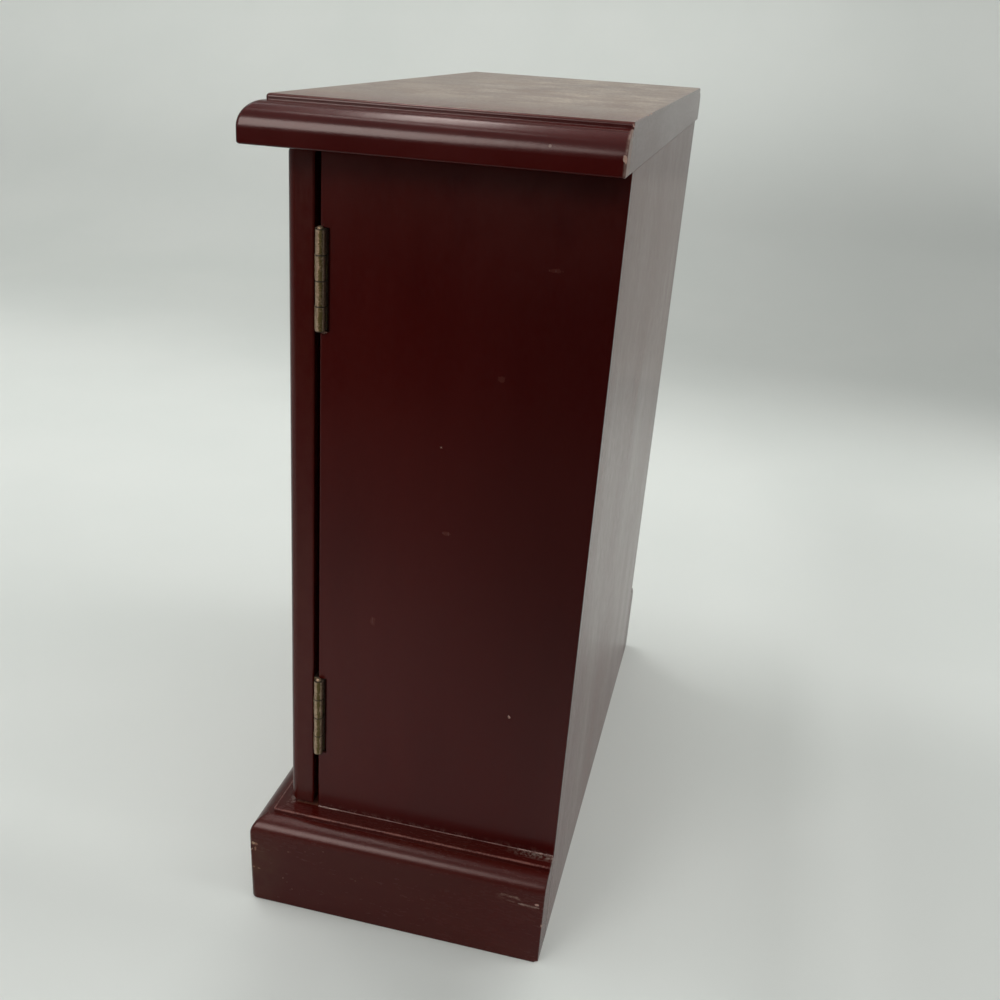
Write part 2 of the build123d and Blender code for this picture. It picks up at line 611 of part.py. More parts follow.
def bead_strip(length):
    """Strip along +X, outer edge on y = 0, foot on z = 0, mitred at 45 degrees."""
    with BuildPart() as strip:
        with BuildSketch(Plane.YZ):
            with BuildLine():
                Polyline((0, 0), (bead_w, 0), (bead_w, 0.7))
                RadiusArc((bead_w, 0.7), (1.2, bead_h), -3.4)
                Polyline((1.2, bead_h), (0, bead_h), (0, 0))
            make_face()
        extrude(amount=length)
        split(bisect_by=Plane(origin=(0.03, 0, 0), z_dir=(1, -1, 0)), keep=Keep.TOP)
        split(bisect_by=Plane(origin=(length - 0.03, 0, 0), z_dir=(-1, -1, 0)), keep=Keep.TOP)
    return strip


strip_w = bead_strip(open_w - 0.1)
strip_h = bead_strip(open_h - 0.1)
with BuildPart() as door_bead:
    # local z of a strip turns to -Y, its width runs towards the middle of the panel
    with Locations(Location((open_x0 + 0.05, panel_yf, open_z0 + 0.05), (90, 0, 0))):
        add(strip_w.part)
    with Locations(Plane(origin=(open_x1 - 0.05, panel_yf, open_z1 - 0.05),
                         x_dir=(-1, 0, 0), z_dir=(0, -1, 0))):
        add(strip_w.part)
    with Locations(Plane(origin=(open_x1 - 0.05, panel_yf, open_z0 + 0.05),
                         x_dir=(0, 0, 1), z_dir=(0, -1, 0))):
        add(strip_h.part)
    with Locations(Plane(origin=(open_x0 + 0.05, panel_yf, open_z1 - 0.05),
                         x_dir=(0, 0, -1), z_dir=(0, -1, 0))):
        add(strip_h.part)
keep_pair(door_bead, "door_{}_panel_bead")

# ================================================================ knobs and strike plates
with BuildPart() as knob_turned:             # foot on the XY plane, nose up
    with BuildSketch(Plane.XZ):
        with BuildLine():
            Polyline((0, 0), (4.3, 0), (4.3, 0.8), (3.7, 1.3))
            Spline((3.7, 1.3), (2.45, 2.6), (2.15, 4.0), (2.9, 5.5), (5.0, 6.9), (5.95, 8.6),
                   (5.6, 10.5), (4.2, 11.9), (2.1, 12.75), (0, knob_l),
                   tangents=((-0.6, 1), (-1, 0)))
            Line((0, knob_l), (0, 0))
        make_face()
    revolve(axis=Axis.Z)
    Cylinder(1.25, 8.0, align=(Align.CENTER, Align.CENTER, Align.MIN), mode=Mode.SUBTRACT)
with BuildPart() as door_knob:
    with Locations(Location((knob_x, door_yf, knob_z), (90, 0, 0))):
        add(knob_turned.part)
keep_pair(door_knob, "door_{}_knob")

with BuildPart() as knob_screw_turned:       # underside of the head on the XY plane
    with BuildSketch(Plane.XZ):
        with BuildLine():
            Polyline((0, -door_t - 7.0), (1.2, -door_t - 6.6), (1.2, 0), (2.6, 0), (2.6, 0.7),
                     (2.1, 1.2), (0, 1.35), (0, -door_t - 7.0))
        make_face()
    revolve(axis=Axis.Z)
    with Locations((0, 0, 1.35)):
        Box(6, 0.6, 1.4, mode=Mode.SUBTRACT)
with BuildPart() as knob_screw:
    with Locations(Location((knob_x, door_yb, knob_z), (-90, 0, 0))):
        add(knob_screw_turned.part)
keep_pair(knob_screw, "door_{}_knob_screw")

with BuildPart() as strike_plate:
    with Locations((catch_x, door_yb, strike_z)):
        Box(strike_w, strike_t, strike_h, align=(Align.CENTER, Align.MIN, Align.CENTER))
    fillet(strike_plate.edges().filter_by(Axis.Y), 1.5)
    with Locations(Location((catch_x, door_yb + strike_t, strike_z), (-90, 0, 0))):
        CounterSinkHole(radius=1.18, counter_sink_radius=2.2, depth=strike_t,
                        counter_sink_angle=90)
keep_pair(strike_plate, "door_{}_strike_plate")

with BuildPart() as strike_screw_turned:
    with BuildSketch(Plane.XZ):
        with BuildLine():
            Polyline((0, 0), (2.15, 0), (1.1, -1.0), (1.1, -6.4), (0, -8.0), (0, 0))
        make_face()
    revolve(axis=Axis.Z)
    Box(5, 0.5, 0.9, mode=Mode.SUBTRACT)
with BuildPart() as strike_screw:
    with Locations(Location((catch_x, door_yb + strike_t, strike_z), (-90, 0, 0))):
        add(strike_screw_turned.part)
keep_pair(strike_screw, "door_{}_strike_screw")

print(len(finished), "nodes,", sum(n for _, n, _ in finished), "solids")
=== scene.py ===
"""Desktop cabinet with doors: painted boards, worn edges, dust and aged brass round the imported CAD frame."""
import math

import bmesh
import bpy
from mathutils import Matrix, Vector, noise


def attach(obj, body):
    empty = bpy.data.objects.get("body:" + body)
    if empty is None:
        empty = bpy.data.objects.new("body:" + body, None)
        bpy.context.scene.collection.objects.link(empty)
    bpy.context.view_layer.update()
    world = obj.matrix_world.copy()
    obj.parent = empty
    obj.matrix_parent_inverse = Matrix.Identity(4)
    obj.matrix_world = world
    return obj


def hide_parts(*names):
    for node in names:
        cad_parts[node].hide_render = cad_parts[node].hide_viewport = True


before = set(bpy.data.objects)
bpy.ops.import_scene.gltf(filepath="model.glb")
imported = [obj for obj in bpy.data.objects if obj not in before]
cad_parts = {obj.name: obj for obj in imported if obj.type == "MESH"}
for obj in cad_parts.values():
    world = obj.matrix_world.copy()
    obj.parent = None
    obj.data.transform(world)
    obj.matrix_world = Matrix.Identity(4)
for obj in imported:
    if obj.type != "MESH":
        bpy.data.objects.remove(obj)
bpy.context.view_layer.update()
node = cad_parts
scene = bpy.context.scene
MM = 0.001

# sizes shared with the CAD source, in millimetres
SIDE_X, IN_X = 139.0, 127.0
YB, YF = 69.65, -42.35
X_TOP, Y_TOP, TOP_Z0, TOP_Z1 = 157.9, -66.95, 339.1, 355.8
X_PL, Y_PL, Y_STOCK, PL_H = 155.8, -69.65, -52.85, 48.0


# ------------------------------------------------------------------ shader trees
class Tree:
    """A node tree that is written as expressions. Lengths inside are millimetres of the object's own space."""

    def __init__(self, name, seed=0.0):
        self.mat = bpy.data.materials.new(name)
        self.mat.use_nodes = True
        self.t = self.mat.node_tree
        self.t.nodes.clear()
        self.out = self.t.nodes.new("ShaderNodeOutputMaterial")
        self.bsdf = self.t.nodes.new("ShaderNodeBsdfPrincipled")
        self.t.links.new(self.bsdf.outputs[0], self.out.inputs[0])
        co = self.t.nodes.new("ShaderNodeTexCoord").outputs["Object"]
        self.p = self.vmath("MULTIPLY", co, (1000.0, 1000.0, 1000.0))
        self.q = self.vmath("ADD", self.p, (seed * 37.1, seed * 91.7, seed * 53.3)) if seed else self.p
        self.n = self.t.nodes.new("ShaderNodeNewGeometry").outputs["Normal"]

    def put(self, socket, value):
        if isinstance(value, bpy.types.NodeSocket):
            self.t.links.new(value, socket)
        elif isinstance(value, (tuple, list)) and len(value) == 3 and socket.type == "RGBA":
            socket.default_value = (*value, 1.0)
        else:
            socket.default_value = value

    def set(self, **values):
        for k, v in values.items():
            self.put(self.bsdf.inputs[k.replace("_", " ")], v)

    def math(self, op, a, b=0.5, c=0.5, clamp=False):
        n = self.t.nodes.new("ShaderNodeMath")
        n.operation, n.use_clamp = op, clamp
        for s, v in zip(n.inputs, (a, b, c)):
            self.put(s, v)
        return n.outputs[0]

    def mul(self, a, b, clamp=False):
        return self.math("MULTIPLY", a, b, clamp=clamp)

    def add(self, a, b, clamp=False):
        return self.math("ADD", a, b, clamp=clamp)

    def vmath(self, op, a, b=(0.0, 0.0, 0.0)):
        n = self.t.nodes.new("ShaderNodeVectorMath")
        n.operation = op
        self.put(n.inputs[0], a)
        self.put(n.inputs[1], b)
        return n.outputs["Value"] if op in ("LENGTH", "DOT_PRODUCT", "DISTANCE") else n.outputs[0]

    def noise(self, scale, detail=2.0, rough=0.5, stretch=None, vec=None, warp=0.0):
        """Noise in 0..1. scale is features per millimetre; stretch multiplies it along each axis."""
        v = self.q if vec is None else vec
        if stretch:
            v = self.vmath("MULTIPLY", v, stretch)
        n = self.t.nodes.new("ShaderNodeTexNoise")
        self.put(n.inputs["Vector"], v)
        n.inputs["Scale"].default_value = scale
        n.inputs["Detail"].default_value = detail
        n.inputs["Roughness"].default_value = rough
        n.inputs["Distortion"].default_value = warp
        return n.outputs["Fac"]

    def noise3(self, scale, detail=2.0, vec=None):
        n = self.t.nodes.new("ShaderNodeTexNoise")
        self.put(n.inputs["Vector"], self.q if vec is None else vec)
        n.inputs["Scale"].default_value = scale
        n.inputs["Detail"].default_value = detail
        return n.outputs["Color"]

    def cells(self, scale, stretch=None, randomness=1.0, vec=None):
        """Distance to the nearest cell's point and that cell's random colour."""
        v = self.q if vec is None else vec
        if stretch:
            v = self.vmath("MULTIPLY", v, stretch)
        n = self.t.nodes.new("ShaderNodeTexVoronoi")
        self.put(n.inputs["Vector"], v)
        n.inputs["Scale"].default_value = scale
        n.inputs["Randomness"].default_value = randomness
        return n.outputs["Distance"], n.outputs["Color"]

    def remap(self, v, lo, hi, a=0.0, b=1.0, smooth=True):
        n = self.t.nodes.new("ShaderNodeMapRange")
        n.interpolation_type = "SMOOTHSTEP" if smooth else "LINEAR"
        n.clamp = True
        for s, x in zip(n.inputs, (v, lo, hi, a, b)):
            self.put(s, x)
        return n.outputs[0]

    def mix(self, fac, a, b):
        n = self.t.nodes.new("ShaderNodeMix")
        n.data_type = "RGBA"
        self.put(n.inputs[0], fac)
        self.put(n.inputs[6], a)
        self.put(n.inputs[7], b)
        return n.outputs[2]

    def xyz(self, v):
        n = self.t.nodes.new("ShaderNodeSeparateXYZ")
        self.put(n.inputs[0], v)
        return n.outputs

    def bump(self, height, microns, normal=None):
        n = self.t.nodes.new("ShaderNodeBump")
        n.inputs["Strength"].default_value = 1.0
        n.inputs["Distance"].default_value = microns * 1e-6
        self.put(n.inputs["Height"], height)
        if normal is not None:
            self.put(n.inputs["Normal"], normal)
        return n.outputs[0]

    def blob(self, centre, radii, ragged=0.5, freq=0.7, detail=3.0):
        """1 inside an ellipsoid with a ragged edge, 0 outside."""
        d = self.vmath("SUBTRACT", self.p, tuple(centre))
        d = self.vmath("MULTIPLY", d, tuple(1.0 / r for r in radii))
        r = self.vmath("LENGTH", d)
        w = self.noise(freq, detail, 0.6, vec=self.p)
        r = self.add(r, self.mul(self.math("SUBTRACT", w, 0.5), 2.0 * ragged))
        return self.remap(r, 1.0, 0.7)


def most(t, masks):
    out = None
    for m in masks:
        out = m if out is None else t.math("MAXIMUM", out, m)
    return out


# ------------------------------------------------------------------ paint
RED_A, RED_B = (0.050, 0.0013, 0.0006), (0.043, 0.0010, 0.0005)
UNDER = (0.46, 0.27, 0.19)      # primer that shows where the paint is rubbed through
DUST = (0.46, 0.39, 0.322)


def paint(name, seed, along="z", tone=1.0, rough=(0.21, 0.28), dust=0.12, dust_lo=0.35, wear=0.0,
          marks=None, film=0.0, peel=1.0, specks=1.0, lies=(0.55, 0.95), spec=0.24, streaks=1.0, grain=1.0, dusty_above=None):
    """Opaque satin lacquer over wood. along is the board's length; film is a settled haze on upright faces;
    wear rubs it through; marks(tree) returns (mask, colour, roughness) triples."""
    t = Tree(name, seed)
    low = {"x": (0.25, 1.0, 1.0), "y": (1.0, 0.25, 1.0), "z": (1.0, 1.0, 0.25)}[along]
    thin = {"x": (0.06, 1.0, 1.0), "y": (1.0, 0.06, 1.0), "z": (1.0, 1.0, 0.06)}[along]
    cloud = t.noise(0.022, 3.0, 0.55, stretch=low)
    streak = t.noise(0.16, 3.0, 0.6, stretch=thin)
    grainy = t.noise(0.9, 3.0, 0.62, stretch=low)
    fine = t.noise(2.6, 2.0, 0.6)
    s_ = 0.3 * streaks
    tint = t.add(t.mul(cloud, 0.85 - s_), t.add(t.mul(streak, s_), t.mul(grainy, 0.15)))
    tint = t.remap(tint, 0.36, 0.64)
    a = tuple(c * tone for c in RED_A)
    b = tuple(c * tone for c in RED_B)
    colour = t.mix(tint, b, a)
    gloss = t.add(t.mul(cloud, 0.4), t.add(t.mul(streak, s_), t.mul(grainy, 0.6 - s_)))
    roughness = t.remap(gloss, 0.35, 0.66, rough[0], rough[1])

    # haze that clings in vertical mottles
    if film:
        k = 0.4 * streaks
        mott = t.add(t.mul(t.noise(0.035, 4.0, 0.6, stretch=low), 0.6),
                     t.add(t.mul(t.noise(0.3, 3.0, 0.6, stretch=thin), k), t.mul(t.noise(0.22, 4.0, 0.65), 0.4 - k)))
        haze = t.mul(t.remap(mott, 0.32, 0.72), film)
        colour = t.mix(haze, colour, (0.22, 0.105, 0.060))
        roughness = t.add(roughness, t.mul(haze, 0.25))

    # dust lies on faces that look up
    up = t.remap(t.xyz(t.n)[2], lies[0], lies[1])
    patch = t.add(t.mul(t.noise(0.03, 4.0, 0.62), 0.42), t.add(t.mul(t.noise(0.11, 4.0, 0.65), 0.34), t.mul(t.noise(0.9, 3.0, 0.6), 0.24)))
    lying = t.mul(up, t.remap(patch, 0.41, 0.60, dust_lo * dust, dust, smooth=True))
    if dusty_above:
        lying = t.mul(lying, t.remap(t.xyz(t.p)[2], dusty_above - 0.5, dusty_above + 0.5))
    colour = t.mix(lying, colour, DUST)
    roughness = t.add(roughness, t.mul(lying, 0.35))

    # nibs and specks caught in the lacquer
    if specks:
        dist, rnd = t.cells(0.11)
        which = t.xyz(rnd)
        size = t.mul(t.remap(which[1], 0.0, 1.0, 0.012, 0.036, smooth=False), t.remap(which[0], 0.62, 0.66, 0.0, 1.0))
        nib = t.remap(dist, size, t.mul(size, 0.5))
        nib = t.mul(nib, 0.55 * specks)
        colour = t.mix(nib, colour, (0.30, 0.10, 0.07))

    height = t.add(t.mul(t.noise(0.30, 2.0, 0.5), 1.0),
                   t.add(t.mul(streak, 0.7 * streaks), t.add(t.mul(t.noise(1.1, 3.0, 0.62), 0.26 * grain), t.mul(fine, 0.12 * grain))))

    if wear:
        w = t.add(t.mul(t.noise(0.05, 3.0, 0.6), 0.5), t.mul(t.noise(0.7, 4.0, 0.65), 0.5))
        bare = t.remap(w, 0.66 - 0.22 * wear, 0.70 - 0.20 * wear)
        rub = t.remap(w, 0.40 - 0.1 * wear, 0.70 - 0.15 * wear, 0.0, 0.55)
        colour = t.mix(rub, colour, (0.17, 0.045, 0.032))
        colour = t.mix(bare, colour, t.mix(t.noise(0.8, 3.0), (0.40, 0.20, 0.13), UNDER))
        roughness = t.add(roughness, t.mul(bare, 0.3))
        height = t.add(height, t.mul(bare, -2.5))

    if marks:
        for mask, col, r in marks(t):
            colour = t.mix(mask, colour, col)
            if r is not None:
                roughness = t.add(t.mul(roughness, t.math("SUBTRACT", 1.0, mask)), t.mul(mask, r))

    nrm = t.bump(height, 22.0 * peel)
    t.set(Base_Color=colour, Roughness=roughness, Normal=nrm)
    t.bsdf.inputs["IOR"].default_value = 1.5
    t.bsdf.inputs["Specular IOR Level"].default_value = spec
    return t.mat


def broken(name, seed, light=(0.52, 0.33, 0.24), dark=(0.30, 0.15, 0.10)):
    """The torn face of a chip: primer, filler and wood fibre."""
    t = Tree(name, seed)
    fibre = t.noise(1.1, 4.0, 0.65, stretch=(1.0, 0.3, 1.0))
    spot = t.noise(0.35, 3.0, 0.6)
    c = t.mix(t.remap(spot, 0.4, 0.6), light, dark)
    c = t.mix(t.remap(fibre, 0.35, 0.7, 0.0, 0.6), c, (0.62, 0.44, 0.33))
    t.set(Base_Color=c, Roughness=t.remap(fibre, 0.3, 0.7, 0.6, 0.85), Normal=t.bump(fibre, 120.0))
    return t.mat


# ------------------------------------------------------------------ wood under stain, bare softwood, beech
def wood(name, seed, early, late, along="x", ring=3.4, rough=(0.45, 0.62), pores=0.5, coat=0.0):
    t = Tree(name, seed)
    axes = {"x": (0.04, 1.0, 1.0), "y": (1.0, 0.04, 1.0), "z": (1.0, 1.0, 0.04)}[along]
    wob = t.vmath("MULTIPLY", t.vmath("SUBTRACT", t.noise3(0.02, 3.0, t.vmath("MULTIPLY", t.q, axes)), (0.5, 0.5, 0.5)),
                  (26.0, 26.0, 26.0))
    v = t.vmath("ADD", t.vmath("MULTIPLY", t.q, axes), wob)
    v = t.vmath("ADD", v, (31.0, 47.0, 83.0))
    r = t.vmath("LENGTH", t.vmath("MULTIPLY", v, {"x": (0.0, 1.0, 1.0), "y": (1.0, 0.0, 1.0), "z": (1.0, 1.0, 0.0)}[along]))
    saw = t.math("FRACT", t.math("DIVIDE", r, ring))
    band = t.math("POWER", saw, 2.2)
    band = t.math("MULTIPLY", band, t.remap(saw, 0.97, 1.0, 1.0, 0.0))
    fibre = t.noise(1.3, 4.0, 0.7, stretch=axes)
    shade = t.noise(0.02, 2.0)
    c = t.mix(t.mul(band, 0.75), early, late)
    c = t.mix(t.remap(fibre, 0.3, 0.75, 0.0, 0.45), c, late)
    c = t.mix(t.remap(shade, 0.35, 0.65, 0.0, 0.25), c, tuple(x * 0.6 for x in late))
    d, rnd = t.cells(1.1, stretch=axes)
    pore = t.mul(t.remap(d, 0.22, 0.1), pores)
    c = t.mix(pore, c, tuple(x * 0.35 for x in late))
    h = t.add(t.mul(fibre, 0.6), t.add(t.mul(band, 0.4), t.mul(pore, -0.8)))
    t.set(Base_Color=c, Roughness=t.remap(fibre, 0.3, 0.7, rough[0], rough[1]), Normal=t.bump(h, 28.0))
    if coat:
        t.bsdf.inputs["Coat Weight"].default_value = coat
        t.bsdf.inputs["Coat Roughness"].default_value = 0.28
    return t.mat


# ------------------------------------------------------------------ metals and plastic
def metal(name, seed, bright, dull, grime, rough=(0.28, 0.5), tarnish=0.5, metallic=1.0, scratch=(1.0, 1.0, 0.08), dirt=0.35, marks=None):
    t = Tree(name, seed)
    cloud = t.noise(0.35, 4.0, 0.6)
    spot = t.noise(1.6, 4.0, 0.65)
    line = t.noise(3.2, 3.0, 0.6, stretch=scratch)
    tar = t.remap(t.add(t.mul(cloud, 0.6), t.mul(spot, 0.4)), 0.5 - 0.25 * tarnish, 0.66)
    c = t.mix(tar, bright, dull)
    c = t.mix(t.remap(line, 0.55, 0.75, 0.0, 0.35), c, tuple(min(1.0, x * 1.35) for x in bright))
    dirty = t.mul(t.remap(t.noise(0.8, 5.0, 0.7), 0.52, 0.68), dirt)
    c = t.mix(dirty, c, grime)
    r = t.add(t.remap(t.add(t.mul(tar, 0.6), t.mul(line, 0.4)), 0.1, 0.8, rough[0], rough[1]), t.mul(dirty, 0.4))
    m = t.math("SUBTRACT", metallic, t.mul(dirty, 0.8 * metallic), clamp=True)
    h = t.add(t.mul(line, 0.5), t.add(t.mul(spot, 0.5), t.mul(dirty, 0.6)))
    if marks:
        for mask, col, keep in marks(t):
            c = t.mix(mask, c, col)
            r = t.add(r, t.mul(mask, 0.15))
            m = t.mul(m, t.remap(mask, 0.0, 1.0, 1.0, keep, smooth=False))
    t.set(Base_Color=c, Roughness=r, Metallic=m, Normal=t.bump(h, 14.0))
    return t.mat


def plastic(name, seed, colour):
    t = Tree(name, seed)
    tex = t.noise(2.8, 3.0, 0.6)
    cloud = t.noise(0.12, 3.0)
    c = t.mix(t.remap(cloud, 0.35, 0.65), colour, tuple(x * 1.5 for x in colour))
    d, rnd = t.cells(0.5)
    c = t.mix(t.mul(t.remap(d, 0.1, 0.05), 0.4), c, (0.3, 0.27, 0.23))
    t.set(Base_Color=c, Roughness=t.remap(tex, 0.3, 0.7, 0.42, 0.6), Normal=t.bump(tex, 18.0))
    return t.mat


# ------------------------------------------------------------------ mesh building
def finish_mesh(ob, angle=32.0):
    """Smooth shading inside each surface, sharp only where faces really meet at an angle, flats kept flat."""
    bm = bmesh.new()
    bm.from_mesh(ob.data)
    for e in bm.edges:
        e.smooth = not (len(e.link_faces) == 2 and e.calc_face_angle(0.0) > math.radians(angle))
    for f in bm.faces:
        f.smooth = True
    bm.to_mesh(ob.data)
    bm.free()
    w = ob.modifiers.new("weighted", "WEIGHTED_NORMAL")
    w.keep_sharp = True
    w.weight = 60


def new_piece(name, bm, body, replaced=()):
    me = bpy.data.meshes.new(name)
    bm.to_mesh(me)
    bm.free()
    ob = bpy.data.objects.new(name, me)
    scene.collection.objects.link(ob)
    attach(ob, body)
    if replaced:
        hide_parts(*replaced)
    return ob


def from_cad(name, width, segments=3, angle=40.0, min_len=1.2):
    """A welded copy of a CAD node's mesh whose arrises are rounded; rounded faces get material index 1."""
    bm = bmesh.new()
    bm.from_mesh(node[name].data)
    bmesh.ops.remove_doubles(bm, verts=bm.verts, dist=2e-6)
    bmesh.ops.dissolve_limit(bm, angle_limit=math.radians(0.4), verts=bm.verts, edges=bm.edges)
    for f in bm.faces:
        f.material_index = 0
    if width:
        picked = [e for e in bm.edges if len(e.link_faces) == 2 and e.is_convex
                  and e.calc_face_angle(0.0) > math.radians(angle) and e.calc_length() > min_len * MM]
        bmesh.ops.bevel(bm, geom=picked, offset=width * MM, offset_type="OFFSET", segments=segments, profile=0.5,
                        affect="EDGES", clamp_overlap=False, material=1)
    return bm


def cutter(centre, radii, seed, mat, turn=(0.0, 0.0, 0.0), rough=0.35, level=3, freq=1.0):
    """A lumpy closed body used to break a chip or dent out of a board."""
    bm = bmesh.new()
    bmesh.ops.create_icosphere(bm, subdivisions=level, radius=1.0)
    rot = Matrix.Rotation(math.radians(turn[2]), 3, "Z") @ Matrix.Rotation(math.radians(turn[1]), 3, "Y") \
        @ Matrix.Rotation(math.radians(turn[0]), 3, "X")
    for v in bm.verts:
        d = v.co.normalized()
        k = 1.0 + rough * (noise.noise(d * 1.7 * freq + Vector((seed * 7.3, seed * 3.1, seed))) +
                           0.5 * noise.noise(d * 4.1 * freq + Vector((seed, seed * 5.7, 2.0))))
        p = Vector((d.x * radii[0], d.y * radii[1], d.z * radii[2])) * k
        v.co = (rot @ p + Vector(centre)) * MM
    me = bpy.data.meshes.new("cutter")
    bm.to_mesh(me)
    bm.free()
    me.materials.append(mat)
    ob = bpy.data.objects.new("cutter", me)
    scene.collection.objects.link(ob)
    return ob


def break_out(ob, cutters):
    """Cuts the bodies out of the piece and keeps the result as its mesh."""
    col = bpy.data.collections.new("cutters")
    scene.collection.children.link(col)
    for c in cutters:
        scene.collection.objects.unlink(c)
        col.objects.link(c)
    m = ob.modifiers.new("chips", "BOOLEAN")
    m.operation, m.solver, m.operand_type, m.collection = "DIFFERENCE", "EXACT", "COLLECTION", col
    m.material_mode = "TRANSFER"
    dg = bpy.context.evaluated_depsgraph_get()
    me = bpy.data.meshes.new_from_object(ob.evaluated_get(dg), preserve_all_data_layers=True, depsgraph=dg)
    ob.modifiers.remove(m)
    old = ob.data
    ob.data = me
    bpy.data.meshes.remove(old)
    for c in list(cutters):
        d = c.data
        bpy.data.objects.remove(c)
        bpy.data.meshes.remove(d)
    bpy.data.collections.remove(col)


def wavy(x, y, z, amount, scale=0.03, seed=0.0):
    """Depth of hand sanding at a point, 0 to amount."""
    v = noise.noise(Vector((x * scale + seed, y * scale, z * scale))) * 0.7 \
        + noise.noise(Vector((x * scale * 3.1, y * scale * 3.1 + seed, z * scale * 3.1))) * 0.3
    return amount * (0.5 + 0.5 * max(-1.0, min(1.0, v * 1.6)))


def arc(cx, cz, r, a0, a1, n):
    return [(cx + r * math.cos(math.radians(a0 + (a1 - a0) * i / n)), cz + r * math.sin(math.radians(a0 + (a1 - a0) * i / n)))
            for i in range(n + 1)]


def spaced(a, b, step):
    n = max(1, round(abs(b - a) / step))
    return [a + (b - a) * i / n for i in range(n + 1)]


def corner(x, y, r, a0, a1, n):
    """Columns round an outside corner at (x, y) whose faces look along +X (0 deg) and -Y (-90 deg)."""
    return [(x - r + r * math.cos(math.radians(a0 + (a1 - a0) * i / n)),
             y + r + r * math.sin(math.radians(a0 + (a1 - a0) * i / n))) for i in range(n + 1)]


def grid_faces(bm, rows, wrap, flip=False):
    """Quads between neighbouring rows of vertices; wrap joins the last row to the first."""
    n = len(rows)
    for i in range(n if wrap else n - 1):
        a, b = rows[i], rows[(i + 1) % n]
        for j in range(len(a) - 1):
            quad = [a[j], a[j + 1], b[j + 1], b[j]]
            quad = [v for k, v in enumerate(quad) if v is not quad[k - 1]]
            if len(set(quad)) >= 3:
                bm.faces.new(quad[::-1] if flip else quad)


def round_rim(bm, test, width, segments=3):
    picked = [e for e in bm.edges if len(e.link_faces) == 2 and e.calc_face_angle(0.0) > math.radians(50) and test(e)]
    bmesh.ops.bevel(bm, geom=picked, offset=width * MM, offset_type="OFFSET", segments=segments, profile=0.5,
                    affect="EDGES", clamp_overlap=False, material=1)


def top_piece():
    """The top board: moulded nose round both ends and the front, sharp square back."""
    r, rn, ra, step_h, w, w_front = 9.0, 0.9, 1.15, 2.2, 9.3, 7.8
    # (inset from the nose, height) from the underside up to the flat
    sec = [(d, z) for d, z in [(16.0, TOP_Z0)]]
    sec += [(rn - x, z) for x, z in arc(0.0, TOP_Z0 + rn, rn, -90, 0, 7)]
    z_ov = TOP_Z1 - step_h - r
    sec += [(0.0, z_ov - 0.2)]
    sec += [(r - x, z) for x, z in arc(0.0, z_ov, r, 0, 90, 22)]
    # crease at the foot of the step, filled a little with paint
    sec += [(w - 0.25, TOP_Z1 - step_h), (w - 0.07, TOP_Z1 - step_h + 0.07), (w, TOP_Z1 - step_h + 0.25)]
    sec += [(w + ra - x, z) for x, z in arc(0.0, TOP_Z1 - ra, ra, 0, 90, 6)]
    sec += [(w + 3.0, TOP_Z1), (w + 9.0, TOP_Z1)]
    bm = bmesh.new()
    rows = []
    for d, z in sec:
        rad = 1.5 if z < TOP_Z1 - step_h + 0.1 else 0.9
        x1, y1 = X_TOP - d, Y_TOP + (d * w_front / w if d <= w else d - w + w_front)
        ys = spaced(YB, Y_TOP + 28.0, 3.5)
        cols = [(x1, y) for y in ys] + [(x1, y1 + rad + (Y_TOP + 28.0 - y1 - rad) * f) for f in (0.66, 0.33)]
        cols += corner(x1, y1, rad, 0, -90, 10)
        xs = spaced(X_TOP - 28.0, -(X_TOP - 28.0), 3.5)
        cols += [(x1 - rad - (x1 - rad - (X_TOP - 28.0)) * f, y1) for f in (0.33, 0.66)]
        front = [(x, y1) for x in xs]
        mirror = [(-x, y) for x, y in reversed(cols)]
        allc = cols + front + mirror
        row = []
        for x, y in allc:
            k = wavy(x, y, z, 0.09, seed=3.0)
            if d < w and z > TOP_Z0 + 0.5:      # moves in along the nose's own normal
                side = max(0.0, min(1.0, (d) / r)) if z > z_ov else 0.0
                nx, nz = (1 - side), side
                if abs(x) > X_TOP - 28.0 and y > Y_TOP + 28.0:
                    x -= math.copysign(k * nx, x)
                elif y < Y_TOP + 28.0 and abs(x) <= X_TOP - 28.0:
                    y += k * nx
                z2 = z - k * nz * 0.7
            else:
                z2 = z - (k * 0.35 if z > TOP_Z1 - 0.3 else 0.0)
            row.append(bm.verts.new((x * MM, min(y, YB) * MM, z2 * MM)))
        rows.append(row)
    grid_faces(bm, rows, wrap=False)
    bm.faces.new(rows[-1])                      # the flat
    bm.faces.new(rows[0][::-1])                 # the underside
    bm.faces.new([r_[0] for r_ in rows] + [r_[-1] for r_ in reversed(rows)])   # the back
    bmesh.ops.recalc_face_normals(bm, faces=bm.faces)
    round_rim(bm, lambda e: all(v.co.y > (YB - 0.01) * MM for v in e.verts), 0.35)
    return bm


def plinth_section(inner):
    r, step_h, w = 8.2, 2.2, 8.5
    z_ov = PL_H - step_h - r
    sec = [(inner, 0.0), (6.0, 0.0)]
    sec += [(0.9 - x, z) for x, z in arc(0.0, 0.9, 0.9, -90, 0, 4)]
    sec += [(0.0, z) for z in spaced(3.5, z_ov - 1.0, 3.5)]
    sec += [(r - x, z) for x, z in arc(0.0, z_ov, r, 0, 90, 20)]
    sec += [(w - 0.22, PL_H - step_h), (w - 0.06, PL_H - step_h + 0.06), (w, PL_H - step_h + 0.22)]
    sec += [(w + 0.5 - x, z) for x, z in arc(0.0, PL_H - 0.5, 0.5, 0, 90, 5)]
    sec += [(w + 2.0, PL_H), (inner, PL_H)]
    return sec, z_ov, w


def plinth_radius(z):
    """The mitred corner is rubbed rounder towards the floor."""
    return 1.2 + 2.0 * max(0.0, min(1.0, (40.0 - z) / 40.0)) ** 1.5


